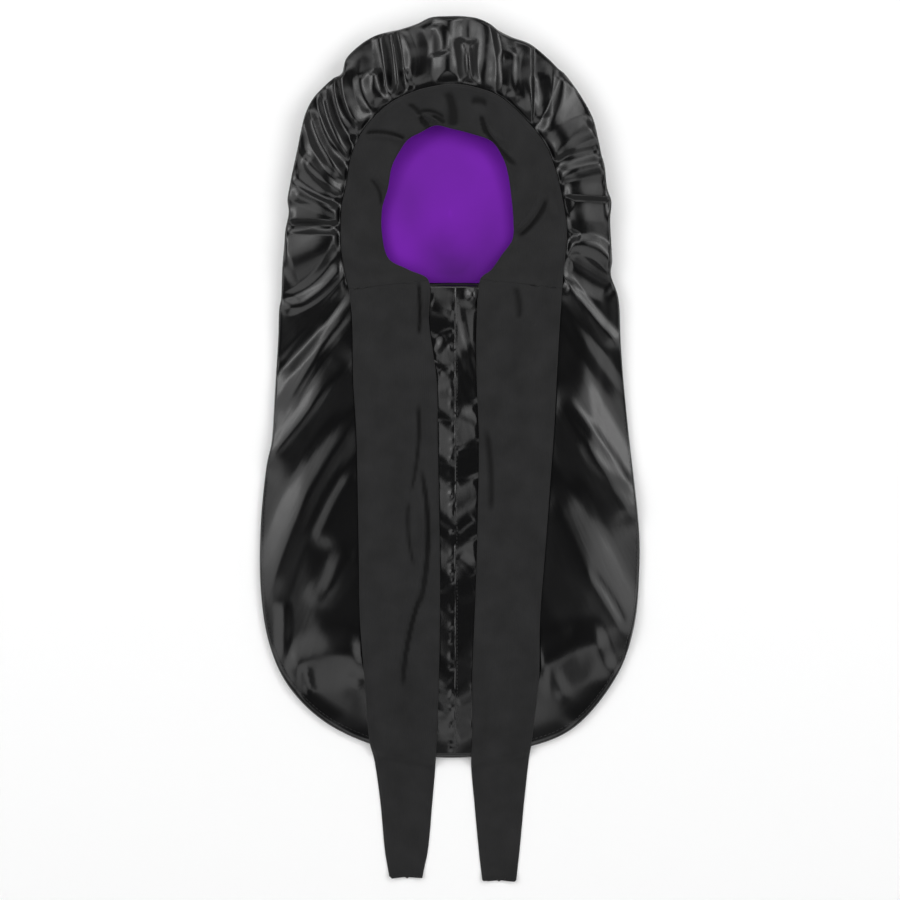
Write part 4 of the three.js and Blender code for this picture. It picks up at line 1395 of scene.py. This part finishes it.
@dataclass(frozen=True)
class Satin:
    """A woven satin: smooth, with a fine thread grain and soft long streaks down the cloth."""

    name: str
    colour: Colour
    roughness: float
    threads: float
    shine: float = 0.5
    streaks: float = 0.0
    streak_scale: Pair = (150.0, 22.0)
    thread_scale: Pair = (1900.0, 260.0)
    patch_scale: float = 22.0
    patch_spread: float = 0.14
    # Share of the colour that the piece's painted shade takes away
    painted_shade_share: float = 0.8

    def material(self) -> bpy.types.Material:
        """Builds the material: threads and streaks are stretched noises on the pattern map.

        Returns:
            The material.
        """
        recipe = Recipe(self.name)
        place = recipe.pattern()
        streaks = recipe.grain(place, self.streak_scale, self.streaks, 0.6 * MM)
        threads = recipe.grain(place, self.thread_scale, self.threads, 0.2 * MM)
        recipe.put(threads, {"Normal": streaks.outputs["Normal"]})
        colour = recipe.mottled(place, self.colour, self.patch_scale, self.patch_spread)
        # The base colour carries the piece's painted shade
        recipe.put(recipe.shader, {"Base Color": recipe.with_painted_shade(colour, self.painted_shade_share),
                                   "Roughness": self.roughness, "Sheen Weight": 0.0,
                                   "Specular IOR Level": self.shine,
                                   "Normal": threads.outputs["Normal"]})
        return recipe.material


@dataclass(frozen=True)
class Jersey:
    """A matt knitted jersey with fine ribs down the strip, on the piece's own pattern map."""

    name: str
    colour: Colour
    roughness: float
    rib: float
    rib_scale: float = 160.0
    patch_scale: float = 42.0
    patch_spread: float = 0.5
    # Share of the colour that the piece's painted shade takes away
    painted_shade_share: float = 0.85

    def material(self) -> bpy.types.Material:
        """Builds the material: ribs are bands across the pattern map, a little bent by noise.

        Returns:
            The material.
        """
        recipe = Recipe(self.name)
        place = recipe.pattern()
        ribs = recipe.add("TexWave", {"Scale": self.rib_scale, "Distortion": 1.2,
                                      "Detail Scale": 2.0, "Vector": place})
        ribs.wave_type, ribs.bands_direction = "BANDS", "X"
        lift = recipe.add("Bump", {"Strength": self.rib, "Distance": 0.2 * MM,
                                   "Height": ribs.outputs["Fac"]})
        colour = recipe.mottled(place, self.colour, self.patch_scale, self.patch_spread)
        # The base colour carries the shade painted into the creases
        recipe.put(recipe.shader, {"Base Color": recipe.with_painted_shade(colour, self.painted_shade_share),
                                   "Roughness": self.roughness, "Specular IOR Level": 0.2,
                                   "Sheen Weight": 0.1, "Sheen Roughness": 0.5,
                                   "Normal": lift.outputs["Normal"]})
        return recipe.material


BLACK_SATIN = Satin("black satin", (0.0012, 0.0012, 0.0014), 0.245, 0.05, streaks=0.10)
PURPLE_SATIN = Satin("purple satin", (0.162, 0.0104, 0.38), 0.6, 0.06, shine=0.15)
BLACK_JERSEY = Jersey("black jersey", (0.0150, 0.0150, 0.0154), 0.85, 0.25)
THREAD = Satin("black thread", (0.02, 0.02, 0.02), 0.5, 0.0)


# The studio

@dataclass(frozen=True)
class SoftBox:
    """A soft box that hangs round the bonnet and faces it.

    The azimuth is its direction in plan, in degrees from +X towards +Y, and off_axis its angle
    away from straight up. It is deep along that direction and wide across it.
    """

    name: str
    azimuth: float
    off_axis: float
    deep: float
    wide: float
    power: float
    distance: float = 2.3

    def hang(self) -> None:
        """Makes the light."""
        data = bpy.data.lights.new(self.name, "AREA")
        data.shape = "RECTANGLE"
        data.size, data.size_y = self.deep, self.wide
        data.energy = self.power
        light = bpy.data.objects.new(self.name, data)
        tilt, turn = radians(self.off_axis), radians(self.azimuth)
        light.location = self.distance * np.array(
            [np.sin(tilt) * np.cos(turn), np.sin(tilt) * np.sin(turn), np.cos(tilt)])
        light.rotation_euler = (0.0, tilt, turn)
        bpy.context.scene.collection.objects.link(light)


SOFT_BOXES = (
    SoftBox("box left", 172, 40, 1.7, 2.6, 22),
    SoftBox("box right", 8, 40, 1.7, 2.6, 22),
    SoftBox("core left", 155, 44, 0.35, 1.2, 6),
    SoftBox("core right", 25, 44, 0.35, 1.2, 6),
    SoftBox("box crown", 90, 46, 1.1, 2.2, 8),
    SoftBox("core crown", 90, 48, 0.5, 2.0, 5),
    SoftBox("box foot", -90, 38, 1.5, 1.5, 10),
)


@dataclass(frozen=True)
class Studio:
    """A pale floor, soft boxes round a dark gap overhead, and the camera straight above."""

    lens: float = 100.0
    sensor: float = 36.0
    frame_width: float = 0.81
    focus_height: float = 13 * MM
    farthest: float = 50.0
    zenith: float = 0.015
    horizon: float = 0.4
    floor_half: float = 6.0
    floor_tone: float = 0.95

    def floor(self) -> None:
        """Lays the pale floor."""
        size = self.floor_half
        corners = [(-size, -size, 0.0), (size, -size, 0.0), (size, size, 0.0), (-size, size, 0.0)]
        mesh = bpy.data.meshes.new("floor")
        mesh.from_pydata(corners, [], [(0, 1, 2, 3)])
        piece = bpy.data.objects.new("floor", mesh)
        recipe = Recipe("pale floor")
        recipe.put(recipe.shader, {"Base Color": (*[self.floor_tone] * 3, 1.0), "Roughness": 0.9,
                                   "Specular IOR Level": 0.1})
        mesh.materials.append(recipe.material)
        bpy.context.scene.collection.objects.link(piece)

    def camera(self) -> None:
        """Sets the camera straight above, so far up that the frame's width shows."""
        data = bpy.data.cameras.new("camera")
        data.lens = self.lens
        data.sensor_width = self.sensor
        data.clip_end = self.farthest
        camera = bpy.data.objects.new("camera", data)
        distance = self.frame_width * self.lens / self.sensor
        camera.location = (0.0, 0.0, distance + self.focus_height)
        bpy.context.scene.collection.objects.link(camera)
        bpy.context.scene.camera = camera

    def world(self) -> None:
        """A pale horizon that darkens towards the zenith, so that level satin stays dark."""
        world = bpy.data.worlds.new("studio")
        bpy.context.scene.world = world
        world.use_nodes = True
        tree = world.node_tree
        place = tree.nodes.new("ShaderNodeTexCoord")
        split = tree.nodes.new("ShaderNodeSeparateXYZ")
        ramp = tree.nodes.new("ShaderNodeValToRGB")
        low, high = ramp.color_ramp.elements
        low.color, low.position = (*[self.horizon] * 3, 1.0), 0.25
        high.color, high.position = (*[self.zenith] * 3, 1.0), 0.85
        tree.links.new(place.outputs["Generated"], split.inputs["Vector"])
        tree.links.new(split.outputs["Z"], ramp.inputs["Fac"])
        tree.links.new(ramp.outputs["Color"], tree.nodes["Background"].inputs["Color"])

    def build(self) -> None:
        """Sets up the whole studio."""
        self.camera()
        self.floor()
        self.world()
        for box in SOFT_BOXES:
            box.hang()
        bpy.context.scene.view_settings.view_transform = "Standard"


# The whole bonnet

@dataclass(frozen=True)
class Cut:
    """How a piece of cloth was cut, in metres, and how it is held on the bonnet."""

    flat: Pair
    area: float
    held: Held
    rests_on: tuple[str, ...]

    def declare(self, piece: bpy.types.Object) -> None:
        """Logs the piece's area of cloth, half the mesh's surface, beside the area that it was cut from.

        Args:
            piece: The piece, a closed mesh with two faces of cloth.
        """
        surface = sum(face.area for face in piece.data.polygons)
        log.info("%s: cloth %.4f square metres, cut %.4f", piece.name, surface / 2, self.area)


CUTS = {
    "satin_bag": Cut((0.62, 0.80), 0.44, Held.GATHERED, ()),
    "lining_bag": Cut((0.60, 0.76), 0.40, Held.GATHERED, ("satin_bag",)),
    "front_seam_panel": Cut((0.10, 0.43), 0.035, Held.GATHERED, ("satin_bag",)),
    "left_tie_jersey": Cut((0.075, 0.54), 0.0385, Held.LAID, ("satin_bag", "front_seam_panel")),
    "band_jersey": Cut((0.042, 0.56), 0.0235, Held.GATHERED, ("satin_bag",)),
    "right_tie_jersey": Cut((0.075, 0.545), 0.0385, Held.LAID, ("satin_bag", "front_seam_panel")),
}


def dress(piece: bpy.types.Object, node: str | None, material: bpy.types.Material) -> None:
    """Gives a piece its material and its body, and hides the plain solid that it replaces.

    Args:
        piece: The piece.
        node: Name of the plain solid that it replaces, or None.
        material: Its finish.
    """
    piece.data.materials.append(material)
    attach(piece, BODY)
    if node:
        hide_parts(node)
    log.info("%s: %d faces", piece.name, len(piece.data.polygons))
    if piece.name in CUTS:
        CUTS[piece.name].declare(piece)


@dataclass(frozen=True)
class Bonnet:
    """The whole bonnet, piece by piece."""

    cell: float = 2 * MM
    panel_edge: int = 26
    hem_inset: float = 6 * MM
    seam_stitch_x: float = 6.4 * MM
    seam_stitch_row: int = 8
    hem_stitches: StitchRow = StitchRow("hem_stitches", 2.6 * MM, 4 * MM)
    seam_stitches: StitchRow = StitchRow("seam_stitches", 2.2 * MM, 3.4 * MM)

    def build(self) -> None:
        """Builds and dresses every piece: each lies on those before it."""
        black, purple, jersey, thread = (
            finish.material() for finish in (BLACK_SATIN, PURPLE_SATIN, BLACK_JERSEY, THREAD))
        bag = SatinBag()
        dress(bag.build(), "satin_shell", black)
        dress(Lining().build(), "satin_lining", purple)
        cloud = bag.cloud()
        panel = SeamPanel(HeightMap.over(cloud, self.cell, 1))
        dress(panel.build(), None, black)
        surface = panel.surface()
        under = np.concatenate([surface[2:, :self.panel_edge], surface[2:, -self.panel_edge:]], axis=1)
        strip = JerseyStrip(HeightMap.over(np.concatenate([cloud, under.reshape(-1, 3)]), self.cell, 2))
        for number, part in enumerate(StripPart):
            name, node = part.value
            dress(strip.piece(name, number), node, jersey)
        dress(self.hem_stitches.build(bag.hem_line(self.hem_inset)), None, thread)
        column = np.argmin(np.abs(surface[:, :, 0] - self.seam_stitch_x), axis=1)
        seam = surface[np.arange(len(surface)), column][self.seam_stitch_row:]
        dress(self.seam_stitches.build(seam), None, thread)


def main() -> None:
    """Builds the studio and the bonnet."""
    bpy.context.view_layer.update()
    Studio().build()
    Bonnet().build()


if __name__ == "__main__":
    main()
